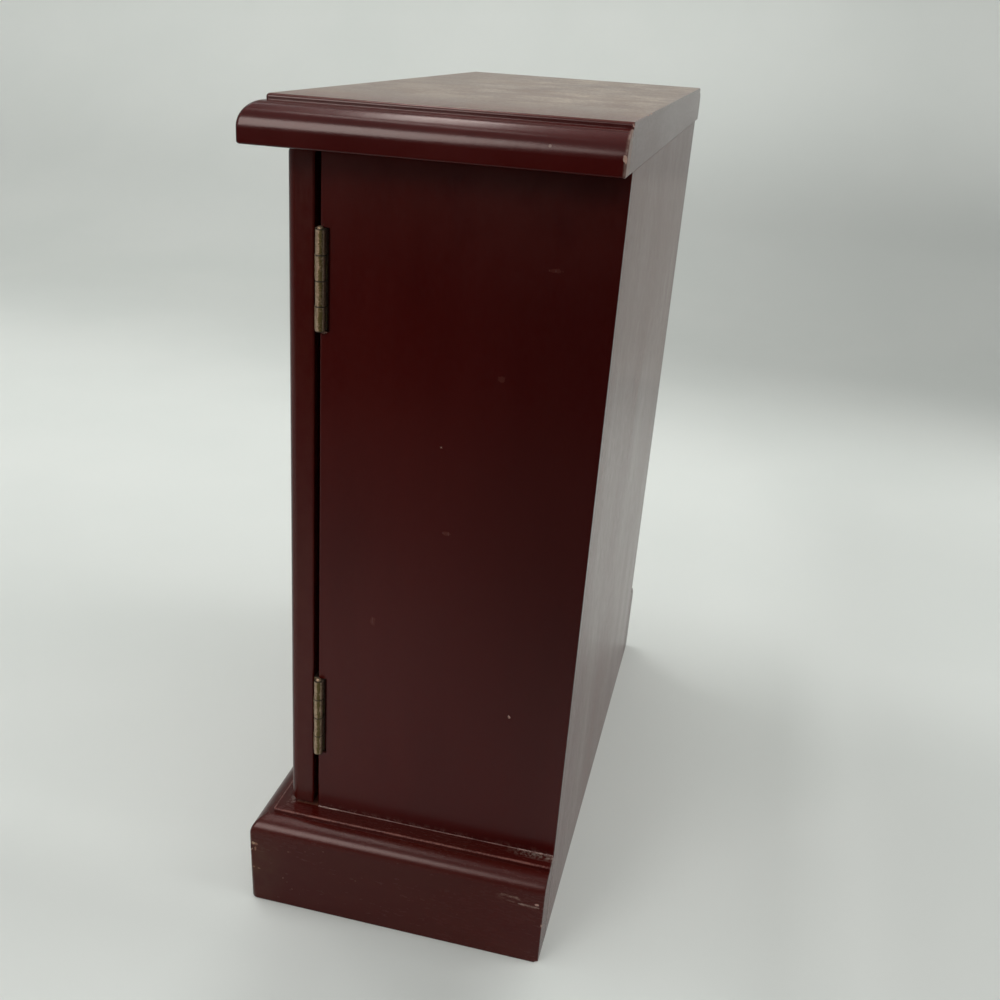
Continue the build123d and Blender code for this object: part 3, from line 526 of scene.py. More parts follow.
def plinth_side_piece(s):
    sec, z_ov, w = plinth_section(16.8)
    bm = bmesh.new()
    rows = []
    for d, z in sec:
        rad = plinth_radius(z) if d < w + 0.6 else 0.3
        x1, y1 = X_PL - d, Y_PL + d
        cols = [(x1, y) for y in spaced(YB, Y_PL + 26.0, 3.5)]
        cols += [(x1, y1 + rad + (Y_PL + 26.0 - y1 - rad) * f) for f in (0.66, 0.33)]
        cols += corner(x1, y1, rad, 0, -45, 6)
        row = []
        for x, y in cols:
            k = wavy(x, y, z, 0.10, seed=8.0)
            fade = max(0.0, min(1.0, (y - (Y_PL + 20.0)) / 8.0))
            if d < 0.01:
                x -= k * fade
            row.append(bm.verts.new((s * x * MM, min(y, YB) * MM, z * MM)))
        rows.append(row)
    grid_faces(bm, rows, wrap=True)
    bm.faces.new([r_[0] for r_ in rows])
    bm.faces.new([r_[-1] for r_ in reversed(rows)])
    bmesh.ops.recalc_face_normals(bm, faces=bm.faces)
    round_rim(bm, lambda e: all(v.co.y > (YB - 0.01) * MM for v in e.verts), 0.5)
    return bm


def plinth_front_piece():
    sec, z_ov, w = plinth_section(16.8)
    bm = bmesh.new()
    rows = []
    for d, z in sec:
        rad = plinth_radius(z) if d < w + 0.6 else 0.3
        x1, y1 = X_PL - d, Y_PL + d
        cols = corner(x1, y1, rad, -45, -90, 6)
        cols += [(x1 - rad - (x1 - rad - (X_PL - 26.0)) * f, y1) for f in (0.33, 0.66)]
        cols += [(x, y1) for x in spaced(X_PL - 26.0, 0.0, 3.5)]
        cols = cols + [(-x, y) for x, y in reversed(cols[:-1])]
        row = []
        for x, y in cols:
            k = wavy(x, y, z, 0.10, seed=8.0)
            fade = max(0.0, min(1.0, (X_PL - 20.0 - abs(x)) / 8.0))
            if d < 0.01:
                y += k * fade
            row.append(bm.verts.new((x * MM, y * MM, z * MM)))
        rows.append(row)
    grid_faces(bm, rows, wrap=True)
    bm.faces.new([r_[0] for r_ in rows])
    bm.faces.new([r_[-1] for r_ in reversed(rows)])
    bmesh.ops.recalc_face_normals(bm, faces=bm.faces)
    return bm


# ------------------------------------------------------------------ materials
chip_pink = broken("chip_primer", 2.0, (0.36, 0.20, 0.17), (0.27, 0.13, 0.105))
chip_tan = broken("chip_wood", 5.0, (0.38, 0.26, 0.17), (0.22, 0.11, 0.075))
chip_dark = broken("chip_shallow", 7.0, (0.22, 0.07, 0.05), (0.12, 0.03, 0.022))


def top_marks(t):
    nick = t.blob((157.6, 44.1, 347.2), (1.0, 0.6, 0.6), 0.4)
    x = t.xyz(t.p)
    flat = t.remap(x[2], 355.0, 355.4)
    mott = t.add(t.mul(t.noise(0.045, 4.0, 0.62, vec=t.p), 0.55), t.mul(t.noise(0.5, 4.0, 0.65, vec=t.p), 0.45))
    edge = t.mul(t.remap(t.add(x[0], t.mul(t.math("SUBTRACT", mott, 0.5), 130.0)), 96.0, 150.0), flat)
    bare = t.mul(t.remap(mott, 0.54, 0.43, 0.0, 0.28), flat)
    pale = t.mul(t.mul(t.remap(mott, 0.52, 0.62), t.mul(t.remap(x[1], -45.0, 0.0), t.remap(x[0], 120.0, 60.0))), t.mul(flat, 0.42))
    end = t.mul(t.mul(t.remap(x[1], 68.3, 69.4), t.remap(x[0], 148.0, 149.5)), t.remap(t.noise(0.5, 3.0, 0.6, vec=t.p), 0.30, 0.62, 0.30, 0.62))
    return [(pale, (0.60, 0.52, 0.42), None), (bare, (0.10, 0.030, 0.020), None), (t.mul(edge, 0.50), (0.125, 0.034, 0.026), None),
            (t.mul(nick, 0.45), (0.36, 0.25, 0.21), 0.5), (end, (0.30, 0.215, 0.175), 0.45)]


def ledge_marks(t):
    x = t.xyz(t.p)
    ledge = t.remap(x[2], 47.0, 47.6)
    back = t.mul(t.remap(x[1], 47.0, 60.0), ledge)
    close = t.mul(t.remap(x[0], 144.5, 139.5), t.remap(t.noise(0.5, 4.0, 0.65, vec=t.p), 0.44, 0.60))
    grey = t.mul(t.mul(back, close), 0.75)
    smear = t.mul(t.blob((155.8, 53.5, 34.0), (1.5, 5.5, 2.2), 0.7, 0.6), t.remap(t.noise(1.3, 3.0, 0.6, stretch=(1.0, 0.15, 1.0), vec=t.p), 0.46, 0.6, 0.0, 0.5))
    scratch = t.mul(t.blob((155.8, 63.8, 31.9), (1.5, 6.0, 0.62), 0.75, 0.7), t.remap(t.noise(0.9, 3.0, 0.6, stretch=(1.0, 0.3, 1.0), vec=t.p), 0.38, 0.58, 0.15, 0.62))
    dot = t.mul(t.blob((155.8, 66.6, 33.4), (1.0, 1.1, 0.7), 0.5, 1.2), 0.6)
    near = t.vmath("LENGTH", t.vmath("MULTIPLY", t.vmath("SUBTRACT", t.p, (155.8, -66.0, 20.0)), (0.1, 0.055, 0.035)))
    olive = t.mul(t.remap(near, 1.0, 0.0), t.remap(t.noise(0.15, 3.0, 0.6, vec=t.p), 0.3, 0.7, 0.03, 0.14))
    arris = t.mul(t.mul(t.remap(x[0], 147.9, 147.3), t.remap(x[0], 146.3, 146.8)), ledge)
    arris = t.mul(arris, t.remap(t.add(t.mul(t.noise(0.12, 3.0, 0.6, vec=t.p), 0.5), t.mul(t.noise(1.2, 3.0, 0.6, vec=t.p), 0.5)), 0.40, 0.58, 0.05, 0.75))
    tan = most(t, [t.blob((155.8, y, z), (1.5, a, b), 0.75, 1.1) for y, z, a, b in
                   ((-66.4, 32.6, 1.0, 0.8), (-66.8, 29.6, 0.6, 1.3), (-67.8, 18.8, 0.7, 0.5), (-65.3, 18.5, 0.8, 0.4))])
    dots = most(t, [t.mul(t.blob((155.8, y, z), (1.2, a, b), 0.5, 1.6), w) for y, z, a, b, w in
                    ((-50.5, 31.9, 0.45, 0.35, 0.8), (-42.2, 34.1, 0.3, 0.4, 0.5), (-33.4, 36.4, 0.5, 0.3, 0.6), (-53.2, 15.9, 0.4, 0.5, 0.7),
                     (-51.2, 14.0, 0.3, 0.3, 0.5), (-48.7, 10.5, 0.4, 0.3, 0.7), (-17.7, 23.8, 0.35, 0.3, 0.5), (31.0, 18.0, 0.3, 0.35, 0.4))])
    return [(grey, (0.30, 0.24, 0.20), 0.6), (olive, (0.16, 0.115, 0.06), None), (smear, (0.36, 0.24, 0.19), 0.5),
            (scratch, (0.40, 0.29, 0.24), 0.5), (dot, (0.60, 0.50, 0.44), 0.5),
            (t.mul(tan, 0.55), (0.36, 0.19, 0.12), 0.6), (t.mul(dots, 0.5), (0.34, 0.19, 0.14), 0.5),
            (arris, (0.21, 0.075, 0.06), 0.5)]


def front_ledge_marks(t):
    x = t.xyz(t.p)
    ledge = t.remap(x[2], 47.0, 47.6)
    under = t.mul(ledge, t.mul(t.remap(x[1], -58.0, -54.5), t.remap(t.noise(0.45, 4.0, 0.65, vec=t.p), 0.42, 0.62)))
    arris = t.mul(t.mul(t.remap(x[1], -61.8, -61.3), t.remap(x[1], -60.2, -60.7)), ledge)
    arris = t.mul(arris, t.remap(t.noise(0.9, 4.0, 0.65, vec=t.p), 0.38, 0.58, 0.1, 0.8))
    return [(t.mul(under, 0.45), (0.30, 0.22, 0.19), 0.6), (arris, (0.22, 0.08, 0.065), 0.5)]


def side_marks(t):
    x = t.xyz(t.p)
    foot = t.mul(t.remap(x[2], 51.5, 48.4), t.remap(t.noise(0.4, 4.0, 0.6, vec=t.p), 0.45, 0.62))
    # haze here is painted light: the panel is painted lighter and redder towards the front, where the side lamp falls
    haze = t.mul(t.remap(x[1], 46.0, -40.0), t.remap(t.add(t.mul(t.noise(0.05, 3.0, 0.6, stretch=(1.0, 1.0, 0.3), vec=t.p), 0.7), t.mul(t.noise(0.6, 3.0, 0.6, vec=t.p), 0.3)), 0.30, 0.68))
    faint = most(t, [t.mul(t.blob(c, r, 0.9, 0.5), w) for c, r, w in
                     (((139.0, 12.0, 196.0), (1.5, 2.0, 1.0), 0.22), ((139.0, -18.0, 150.0), (1.5, 1.2, 2.5), 0.16),
                      ((139.0, 30.0, 262.0), (1.5, 1.6, 1.6), 0.14), ((139.0, 46.0, 304.0), (1.5, 3.0, 1.2), 0.14))])
    # painted shade: the panel is painted darker towards the back and higher up
    painted_shade = t.mul(t.remap(x[1], -25.0, 62.0, 0.0, 0.34), t.remap(x[2], 60.0, 190.0, 0.3, 1.0))
    # painted light: the panel is painted lighter just under the top's nose, where the overhang shades it
    painted_light_under_nose = t.mul(t.remap(x[2], 285.0, 338.0), t.remap(t.noise(0.06, 3.0, 0.6, vec=t.p), 0.25, 0.6, 0.10, 0.30))
    return [(painted_shade, (0.006, 0.0004, 0.0002), None), (painted_light_under_nose, (0.095, 0.016, 0.011), None), (t.mul(haze, 0.22), (0.085, 0.009, 0.006), None), (t.mul(foot, 0.22), (0.22, 0.11, 0.09), 0.55), (faint, (0.20, 0.07, 0.05), 0.4)]


def both(name, seed, wear, **kw):
    return [paint(name, seed, wear=0.0, **kw), paint(name + "_arris", seed, wear=wear, **kw)]


top_mats = both("top_lacquer", 1.0, 0.6, along="x", dust=0.74, dust_lo=0.56, lies=(0.955, 0.999), rough=(0.17, 0.23), marks=top_marks, tone=1.15, streaks=0.4, grain=1.4, dusty_above=355.0)
side_mats = both("carcass_lacquer", 2.0, 0.35, along="z", tone=1.12, rough=(0.19, 0.26), marks=side_marks, streaks=0.25)
plinth_mats = both("plinth_lacquer", 3.0, 0.5, along="y", dust=0.008, rough=(0.22, 0.29), marks=ledge_marks, tone=1.0, film=0.05, spec=0.20, streaks=0.4)
front_mats = both("plinth_front_lacquer", 3.5, 0.5, along="x", dust=0.012, rough=(0.22, 0.29), marks=front_ledge_marks, tone=1.0, film=0.05, spec=0.20, streaks=0.4)
door_mats = both("door_lacquer", 4.0, 0.45, along="z", film=0.07, tone=1.15, rough=(0.19, 0.26), streaks=0.2)
rail_mats = both("door_rail_lacquer", 4.5, 0.3, along="x", film=0.07, tone=1.15, rough=(0.19, 0.26), streaks=0.2)
back_mats = both("back_lacquer", 5.0, 0.6, along="z", film=0.16, rough=(0.20, 0.25), tone=1.2, peel=0.14, streaks=0.0)
inside = wood("inside_wood", 6.0, (0.16, 0.052, 0.030), (0.075, 0.020, 0.012), along="x", ring=4.2, rough=(0.38, 0.55))
inside_side = wood("inside_side_wood", 6.5, (0.15, 0.048, 0.028), (0.07, 0.019, 0.011), along="z", ring=4.2, rough=(0.38, 0.55))
pine = wood("raw_pine", 7.0, (0.58, 0.40, 0.22), (0.40, 0.22, 0.10), along="x", ring=3.0, pores=0.1, rough=(0.6, 0.8))
beech = wood("dowel_beech", 8.0, (0.60, 0.42, 0.26), (0.48, 0.30, 0.17), along="z", ring=2.0, pores=0.4, rough=(0.5, 0.7))


def hinge_marks(t):
    """Painted dark reflection: a dark olive band down the barrel where it faces the camera; painted shade in the notch
    behind the barrel; and dirt in the joints between the knuckles.
    """
    nx, ny, _ = t.xyz(t.t.nodes.new("ShaderNodeTexCoord").outputs["Normal"])
    # painted dark reflection: olive darkens the barrel where its face turns towards the camera
    faces_camera = t.add(t.mul(t.math("ABSOLUTE", nx), 0.93), t.mul(ny, 0.36))
    rag = t.add(t.mul(t.noise(0.35, 3.0, 0.6, vec=t.p), 0.5), t.mul(t.noise(1.4, 3.0, 0.65, vec=t.p), 0.5))
    olive = t.mul(t.remap(t.add(faces_camera, t.mul(t.math("SUBTRACT", rag, 0.5), 0.55)), 0.88, 0.98), 0.95)
    z = t.xyz(t.p)[2]
    near = None
    for low in (272.2, 79.0):
        f = t.math("FRACT", t.add(t.math("DIVIDE", t.math("SUBTRACT", z, low), 9.525), 0.5))
        d = t.mul(t.math("ABSOLUTE", t.math("SUBTRACT", f, 0.5)), 9.525)
        here = t.remap(z, 199.0, 201.0) if low > 200 else t.remap(z, 201.0, 199.0)
        k = t.mul(t.remap(t.add(d, t.mul(t.math("SUBTRACT", rag, 0.5), 0.5)), 0.42, 0.12), here)
        near = k if near is None else t.add(near, k)
    x, y, _ = t.xyz(t.p)
    # painted shade in the notch behind the barrel
    painted_shade = t.mul(t.remap(y, -41.2, -40.6), t.remap(t.math("ABSOLUTE", x), 139.6, 139.1))
    return [(t.mul(painted_shade, 0.85), (0.030, 0.012, 0.008), 0.2), (olive, (0.085, 0.064, 0.014), 0.75), (t.mul(near, 0.9), (0.030, 0.020, 0.010), 0.3)]


hinge_brass = metal("hinge_brass", 9.0, (0.42, 0.31, 0.22), (0.22, 0.16, 0.105), (0.045, 0.033, 0.022), tarnish=0.6, dirt=0.5, marks=hinge_marks)
pin_brass = metal("pin_brass", 10.0, (0.38, 0.29, 0.20), (0.22, 0.165, 0.105), (0.05, 0.04, 0.025), rough=(0.42, 0.6), tarnish=0.5, dirt=0.4)
screw_brass = metal("screw_brass", 11.0, (0.52, 0.40, 0.19), (0.28, 0.21, 0.10), (0.05, 0.04, 0.025), tarnish=0.3)
screw_steel = metal("screw_steel", 12.0, (0.48, 0.47, 0.45), (0.25, 0.24, 0.23), (0.06, 0.045, 0.035), tarnish=0.3)
knob_brass = metal("knob_brass", 13.0, (0.62, 0.46, 0.20), (0.36, 0.26, 0.12), (0.07, 0.05, 0.03), rough=(0.16, 0.34), tarnish=0.25, dirt=0.25, scratch=(1.0, 0.05, 1.0))
shelf_brass = metal("shelf_pin_brass", 14.0, (0.60, 0.46, 0.22), (0.38, 0.28, 0.14), (0.07, 0.05, 0.03), tarnish=0.2, scratch=(0.08, 1.0, 1.0))
catch_plastic = plastic("catch_plastic", 15.0, (0.045, 0.026, 0.018))
magnet = metal("catch_magnet", 16.0, (0.055, 0.052, 0.052), (0.035, 0.033, 0.033), (0.02, 0.018, 0.017), rough=(0.5, 0.7), metallic=0.3)
zinc = metal("catch_steel", 17.0, (0.60, 0.60, 0.58), (0.42, 0.42, 0.41), (0.10, 0.085, 0.07), rough=(0.25, 0.42), tarnish=0.3, dirt=0.25)


def dress(ob, mats):
    ob.data.materials.clear()
    for m in mats:
        ob.data.materials.append(m)


# ------------------------------------------------------------------ boards
top = new_piece("top_board_painted", top_piece(), "carcass", ["top_board"])
dress(top, top_mats)
break_out(top, [
    cutter((158.35, 69.0, 345.2), (0.7, 1.2, 2.4), 1.0, chip_pink, turn=(20, 0, 0), rough=0.22),
    cutter((148.8, 70.0, 354.9), (1.1, 1.0, 0.9), 2.0, chip_pink),
    cutter((100.0, 69.95, 356.1), (4.5, 0.7, 0.7), 4.0, chip_tan),
    cutter((109.0, 69.9, 356.0), (2.4, 0.6, 0.6), 5.0, chip_pink),
    cutter((62.0, 69.95, 356.05), (1.8, 0.5, 0.5), 6.0, chip_tan),
    cutter((-146.8, 69.9, 355.9), (2.4, 0.8, 0.9), 7.0, chip_tan),
    cutter((158.25, 44.0, 347.4), (0.42, 0.40, 0.32), 8.0, chip_dark),
    cutter((-158.2, 20.0, 346.0), (0.5, 1.6, 1.2), 9.0, chip_dark),
    cutter((40.0, -67.25, 345.5), (1.3, 0.42, 0.8), 10.0, chip_dark),
])
finish_mesh(top)

plinth_r = new_piece("plinth_side_right_painted", plinth_side_piece(1), "carcass", ["plinth_side_right"])
dress(plinth_r, plinth_mats)
break_out(plinth_r, [
    cutter((156.0, -67.9, 32.6), (0.8, 0.9, 0.9), 11.0, chip_tan),
    cutter((155.4, -68.9, 29.8), (0.9, 0.7, 1.5), 12.0, chip_tan),
    cutter((155.2, -69.2, 18.8), (0.8, 0.8, 0.6), 13.0, chip_tan),
    cutter((156.1, 66.5, 33.5), (0.55, 1.1, 0.8), 14.0, chip_pink),
    cutter((155.9, 15.5, 41.2), (0.45, 0.45, 1.0), 15.0, chip_dark, turn=(0, 0, 10)),
    cutter((156.4, 70.2, -0.4), (2.4, 2.6, 2.6), 16.0, plinth_mats[1], rough=0.12),
    cutter((156.0, 69.9, 22.0), (0.6, 0.7, 1.6), 17.0, chip_pink),
])
finish_mesh(plinth_r)

plinth_l = new_piece("plinth_side_left_painted", plinth_side_piece(-1), "carcass", ["plinth_side_left"])
dress(plinth_l, plinth_mats)
break_out(plinth_l, [
    cutter((-156.1, 20.0, 30.0), (0.5, 1.6, 1.0), 21.0, chip_dark),
    cutter((-155.9, 69.9, 12.0), (0.7, 0.7, 1.8), 22.0, chip_tan),
    cutter((-156.2, -30.0, 40.0), (0.6, 1.1, 0.9), 23.0, chip_pink),
])
finish_mesh(plinth_l)

plinth_f = new_piece("plinth_front_painted", plinth_front_piece(), "carcass", ["plinth_front"])
dress(plinth_f, front_mats)
break_out(plinth_f, [
    cutter((30.0, -69.9, 26.0), (1.5, 0.5, 0.9), 24.0, chip_dark),
    cutter((-96.0, -69.8, 39.0), (1.2, 0.6, 0.9), 25.0, chip_tan),
    cutter((154.6, -69.6, 24.0), (0.8, 0.6, 1.2), 26.0, chip_tan),
])
finish_mesh(plinth_f)

side_r = new_piece("side_panel_right_painted", from_cad("side_panel_right", 0.0), "carcass", ["side_panel_right"])
side_l = new_piece("side_panel_left_painted", from_cad("side_panel_left", 0.0), "carcass", ["side_panel_left"])
for ob, s in ((side_r, 1), (side_l, -1)):
    dress(ob, side_mats + [inside_side])
    for p in ob.data.polygons:                    # the inner face is stained, not painted
        if abs(p.center.x) < (SIDE_X - 1.0) * MM and -s * p.normal.x > 0.5:
            p.material_index = 2
break_out(side_r, [
    cutter((139.15, 43.9, 116.0), (0.38, 0.5, 0.8), 31.0, chip_pink, turn=(25, 0, 0)),
    cutter((139.1, -41.0, 272.0), (0.8, 1.5, 1.0), 32.0, chip_dark),
    cutter((139.2, 8.0, 232.0), (0.35, 0.5, 0.5), 33.0, chip_dark),
])
break_out(side_l, [
    cutter((-139.15, 12.0, 150.0), (0.5, 1.0, 1.4), 34.0, chip_dark),
    cutter((-139.15, 40.0, 90.0), (0.4, 1.3, 0.7), 35.0, chip_pink),
])
for ob in (side_r, side_l):
    finish_mesh(ob)


def door_board(name, mats, width=0.35):
    body = "door_right" if "door_right" in name else "door_left"
    ob = new_piece(name + "_painted", from_cad(name, width), body, [name])
    dress(ob, mats)
    finish_mesh(ob)
    return ob


for side in ("right", "left"):
    door_board(f"door_{side}_hinge_stile", door_mats, width=0.3)
    door_board(f"door_{side}_meeting_stile", door_mats, width=0.3)
    door_board(f"door_{side}_top_rail", rail_mats, width=0.3)
    door_board(f"door_{side}_bottom_rail", rail_mats, width=0.3)
    door_board(f"door_{side}_panel", door_mats, width=0.0)
    door_board(f"door_{side}_panel_bead", door_mats, width=0.0)

back = new_piece("back_panel_painted", from_cad("back_panel", 0.25), "carcass", ["back_panel"])
dress(back, back_mats)
finish_mesh(back)


# ------------------------------------------------------------------ paint and dust gathered along the joint over the ledge
def joint_bead(name, s):
    bm = bmesh.new()
    rows = [[] for _ in range(5)]
    ys = spaced(YF + 0.4, YB - 0.3, 0.8)
    for y in ys:
        n1 = noise.noise(Vector((y * 0.13, s * 3.0, 1.0)))
        n2 = noise.noise(Vector((y * 0.9, s * 3.0, 5.0)))
        n3 = noise.noise(Vector((y * 2.3, s * 3.0, 9.0)))
        w = max(0.10, 0.38 + 0.30 * n1 + 0.22 * n2 + 0.12 * n3)
        if y < -32.0:
            w += 0.35 * max(0.0, 0.6 + n2)
        if y > 52.0:
            w += 0.30 * max(0.0, 0.5 + n2)
        h = w * (0.75 + 0.3 * n3)
        for i, (dx, dz) in enumerate(((0.0, h), (0.18 * w, 0.45 * h), (0.45 * w, 0.18 * h), (w, 0.0), (0.0, -0.02))):
            rows[i].append(bm.verts.new((s * (SIDE_X - 0.02 + dx) * MM, y * MM, (PL_H + dz + (0.0 if i == 4 else 0.01)) * MM)))
    grid_faces(bm, rows, wrap=True)
    bm.faces.new([r_[0] for r_ in rows])
    bm.faces.new([r_[-1] for r_ in reversed(rows)])
    bmesh.ops.recalc_face_normals(bm, faces=bm.faces)
    ob = new_piece(name, bm, "carcass")
    t = Tree(name + "_paint", 19.0)
    n = t.add(t.mul(t.noise(0.16, 3.0, 0.6), 0.5), t.mul(t.noise(1.6, 3.0, 0.65), 0.5))
    x = t.xyz(t.p)
    ends = t.math("MAXIMUM", t.remap(x[1], -26.0, -36.0), t.remap(x[1], 46.0, 60.0))
    c = t.mix(t.remap(n, 0.42, 0.58), (0.075, 0.014, 0.010), (0.15, 0.055, 0.043))
    c = t.mix(t.mul(ends, t.remap(n, 0.40, 0.58)), c, (0.36, 0.245, 0.205))
    t.set(Base_Color=c, Roughness=t.remap(n, 0.3, 0.7, 0.4, 0.7), Normal=t.bump(n, 60.0))
    dress(ob, [t.mat])
    finish_mesh(ob, 60.0)


joint_bead("joint_bead_right", 1)
joint_bead("joint_bead_left", -1)

# ------------------------------------------------------------------ carried-over CAD nodes
PLAIN = {
    "bottom_board": [inside], "shelf": [inside], "plinth_corner_blocks": [pine], "plinth_glue_blocks": [pine],
    "top_dowels": [beech], "plinth_screws": [screw_steel], "back_panel_pins": [back_mats[0]], "shelf_pins": [shelf_brass],
    "hinge_screws_carcass": [screw_brass], "catch_screws": [screw_steel],
}
for side in ("right", "left"):
    PLAIN[f"hinge_screws_door_{side}"] = [screw_brass]
    PLAIN[f"door_{side}_knob"] = [knob_brass]
    PLAIN[f"door_{side}_knob_screw"] = [screw_steel]
    PLAIN[f"door_{side}_strike_plate"] = [zinc]
    PLAIN[f"door_{side}_strike_screw"] = [screw_steel]
    PLAIN[f"catch_{side}_housing"] = [catch_plastic]
    PLAIN[f"catch_{side}_magnet"] = [magnet]
    PLAIN[f"catch_{side}_pole_plates"] = [zinc]
    for level in ("upper", "lower"):
        PLAIN[f"hinge_{level}_{side}_side_leaf"] = [hinge_brass]
        PLAIN[f"hinge_{level}_{side}_door_leaf"] = [hinge_brass]
        PLAIN[f"hinge_{level}_{side}_pin"] = [pin_brass]
for name, mats in PLAIN.items():
    dress(node[name], mats)
left_over = [n for n, o in node.items() if not o.hide_render and n not in PLAIN]
assert not left_over, left_over

# ------------------------------------------------------------------ floor and backdrop
def paper(name, falls):
    """Pale paper with painted shade and a painted shadow on it. falls: painted shade makes it go dark in front of the
    set, which is what the lacquer mirrors.
    """
    t = Tree(name)
    n = t.noise(0.004, 3.0, 0.5)
    c = t.mix(t.remap(n, 0.3, 0.7), (0.79, 0.82, 0.785), (0.82, 0.845, 0.81))
    x, y, z = t.xyz(t.p)
    # painted shade: far, right, wall and front paint the paper darker at the bend, towards +Y, on the far wall, and as
    # a soft shadow in front of the plinth
    far = t.mul(t.remap(x, -450.0, -1000.0), t.remap(x, -1760.0, -1450.0))        # the bend gets less light
    far = t.mul(far, t.remap(y, -700.0, 520.0, 0.20, 0.46))
    right = t.mul(t.mul(t.remap(y, 115.0, 250.0), t.remap(x, -60.0, -200.0, 0.24, 0.12)), t.remap(x, -700.0, -380.0))
    wall = t.mul(t.remap(y, -100.0, 420.0), t.mul(t.remap(x, -1400.0, -1650.0), 0.15))
    front = t.mul(t.mul(t.remap(x, 120.0, 190.0), t.remap(y, 90.0, 30.0)), t.remap(y, -20.0, -90.0, 0.31, 0.16))
    front = t.mul(front, 1.0) if falls else t.mul(front, t.remap(x, 480.0, 330.0))
    if not falls:                               # evens out towards the paper on the next side
        even = t.remap(y, 750.0, 1450.0)
        far = t.mul(far, t.math("SUBTRACT", 1.0, even))
        wall = t.mul(wall, t.math("SUBTRACT", 1.0, even))
        # painted glow: this paper emits light that rises with height, though it is no lamp
        t.bsdf.inputs["Emission Color"].default_value = (0.80, 0.84, 0.80, 1.0)
        t.set(Emission_Strength=t.mul(even, t.remap(z, 0.0, 800.0, 0.0, 0.12)))
    for k in (far, right, wall, front):
        c = t.mix(k, c, (0.0, 0.0, 0.0))
    # painted shade: the floor goes dark beyond the light's edge in front of the set, for the lacquer to mirror
    if falls:
        c = t.mix(t.remap(t.add(x, t.mul(y, 0.45)), 250.0, 590.0), c, (0.12, 0.13, 0.12))
    t.set(Base_Color=c, Roughness=0.75)
    return t.mat


def stage_sheet(name, me, mat, seen):
    """One sheet of the set: either the one the camera sees, or the one that takes part in the light."""
    me = me.copy()
    me.name = name
    ob = bpy.data.objects.new(name, me)
    scene.collection.objects.link(ob)
    dress(ob, [mat])
    ob.visible_camera = seen
    for ray in ("diffuse", "glossy", "transmission", "shadow"):
        setattr(ob, "visible_" + ray, not seen)
    if seen:
        ob.location = (0.0002, 0.0, 0.0002)
    return ob


def sweep():
    """A pale paper sweep: level floor, wide curve, upright far wall; the camera's sheets also close the other sides."""
    lit, plain = paper("sweep_paper", True), paper("sweep_paper_seen", False)
    prof = [(x, 0.0) for x in spaced(0.82, -1.1, 0.1)]
    prof += [(-1.1 - 0.7 * math.sin(a), 0.7 - 0.7 * math.cos(a)) for a in [math.radians(d) for d in range(5, 91, 5)]]
    prof += [(-1.8, z) for z in (1.2, 2.0, 3.0)]
    bm = bmesh.new()
    rows = [[bm.verts.new((x, y, z)) for y in (-3.0, -2.0, -1.0, 0.0, 1.0, 2.0, 3.0)] for x, z in prof]
    grid_faces(bm, rows, wrap=False)
    bmesh.ops.recalc_face_normals(bm, faces=bm.faces)
    for f in bm.faces:
        f.smooth = True
    me = bpy.data.meshes.new("sweep")
    bm.to_mesh(me)
    bm.free()
    stage_sheet("sweep", me, lit, False)
    stage_sheet("sweep_seen", me, plain, True)
    # the same floor carried on past the light's edge
    bm = bmesh.new()
    bmesh.ops.create_grid(bm, x_segments=4, y_segments=4, size=3.0)
    for v in bm.verts:
        v.co.x += 3.82
    me = bpy.data.meshes.new("floor_outer")
    bm.to_mesh(me)
    bm.free()
    stage_sheet("floor_outer", me, lit, False).visible_glossy = False
    stage_sheet("floor_outer_seen", me, plain, True)
    # upright paper on the three other sides, curved into the floor, for the views from elsewhere
    plan = []
    for cx, cy, a0 in ((-0.99, -1.7, 180.0), (1.6, -1.7, 270.0), (1.6, 1.7, 0.0), (-0.99, 1.7, 90.0)):
        for i in range(9):
            a = math.radians(a0 + 90.0 * i / 8)
            plan.append((cx + 0.8 * math.cos(a), cy + 0.8 * math.sin(a), math.cos(a), math.sin(a)))
    cut = [(0.75, 0.0005)] + [(0.7 - 0.7 * math.sin(a), 0.7005 - 0.7 * math.cos(a)) for a in [math.radians(d) for d in range(0, 91, 9)]]
    cut += [(0.0, z) for z in (1.2, 2.0, 3.0, 4.5)]
    bm = bmesh.new()
    rows = [[bm.verts.new((x - nx * d, y - ny * d, z)) for d, z in cut] for x, y, nx, ny in plan]
    grid_faces(bm, rows, wrap=False)
    bmesh.ops.recalc_face_normals(bm, faces=bm.faces)
    for f in bm.faces:
        f.smooth = True
    me = bpy.data.meshes.new("surround")
    bm.to_mesh(me)
    bm.free()
    t = Tree("surround_paper")
    c = t.mix(t.remap(t.noise(0.004, 3.0, 0.5), 0.3, 0.7), (0.79, 0.82, 0.785), (0.82, 0.845, 0.81))
    t.set(Base_Color=c, Roughness=0.75)
    # painted glow: the surround paper emits light that rises with height, though it is no lamp
    t.bsdf.inputs["Emission Color"].default_value = (0.80, 0.84, 0.80, 1.0)
    t.set(Emission_Strength=t.remap(t.xyz(t.p)[2], 0.0, 800.0, 0.0, 0.12))
    stage_sheet("surround", me, t.mat, True)


sweep()


def softbox(name, place, aim, size, power, colour=(1.0, 1.0, 1.0), seen=False, spread=180.0, part="both"):
    """part: "both", or only the "sheen" it puts on gloss, or only the "fill" it casts."""
    li = bpy.data.lights.new(name, "AREA")
    li.shape, li.size, li.size_y = "RECTANGLE", size[0], size[1]
    li.energy, li.color, li.spread = power, colour, math.radians(spread)
    ob = bpy.data.objects.new(name, li)
    scene.collection.objects.link(ob)
    ob.location = place
    ob.rotation_mode = "QUATERNION"
    ob.rotation_quaternion = (Vector(aim) - Vector(place)).to_track_quat("-Z", "Y")
    ob.visible_camera = seen
    ob.visible_diffuse = part != "sheen"
    ob.visible_glossy = part != "fill"
    return ob


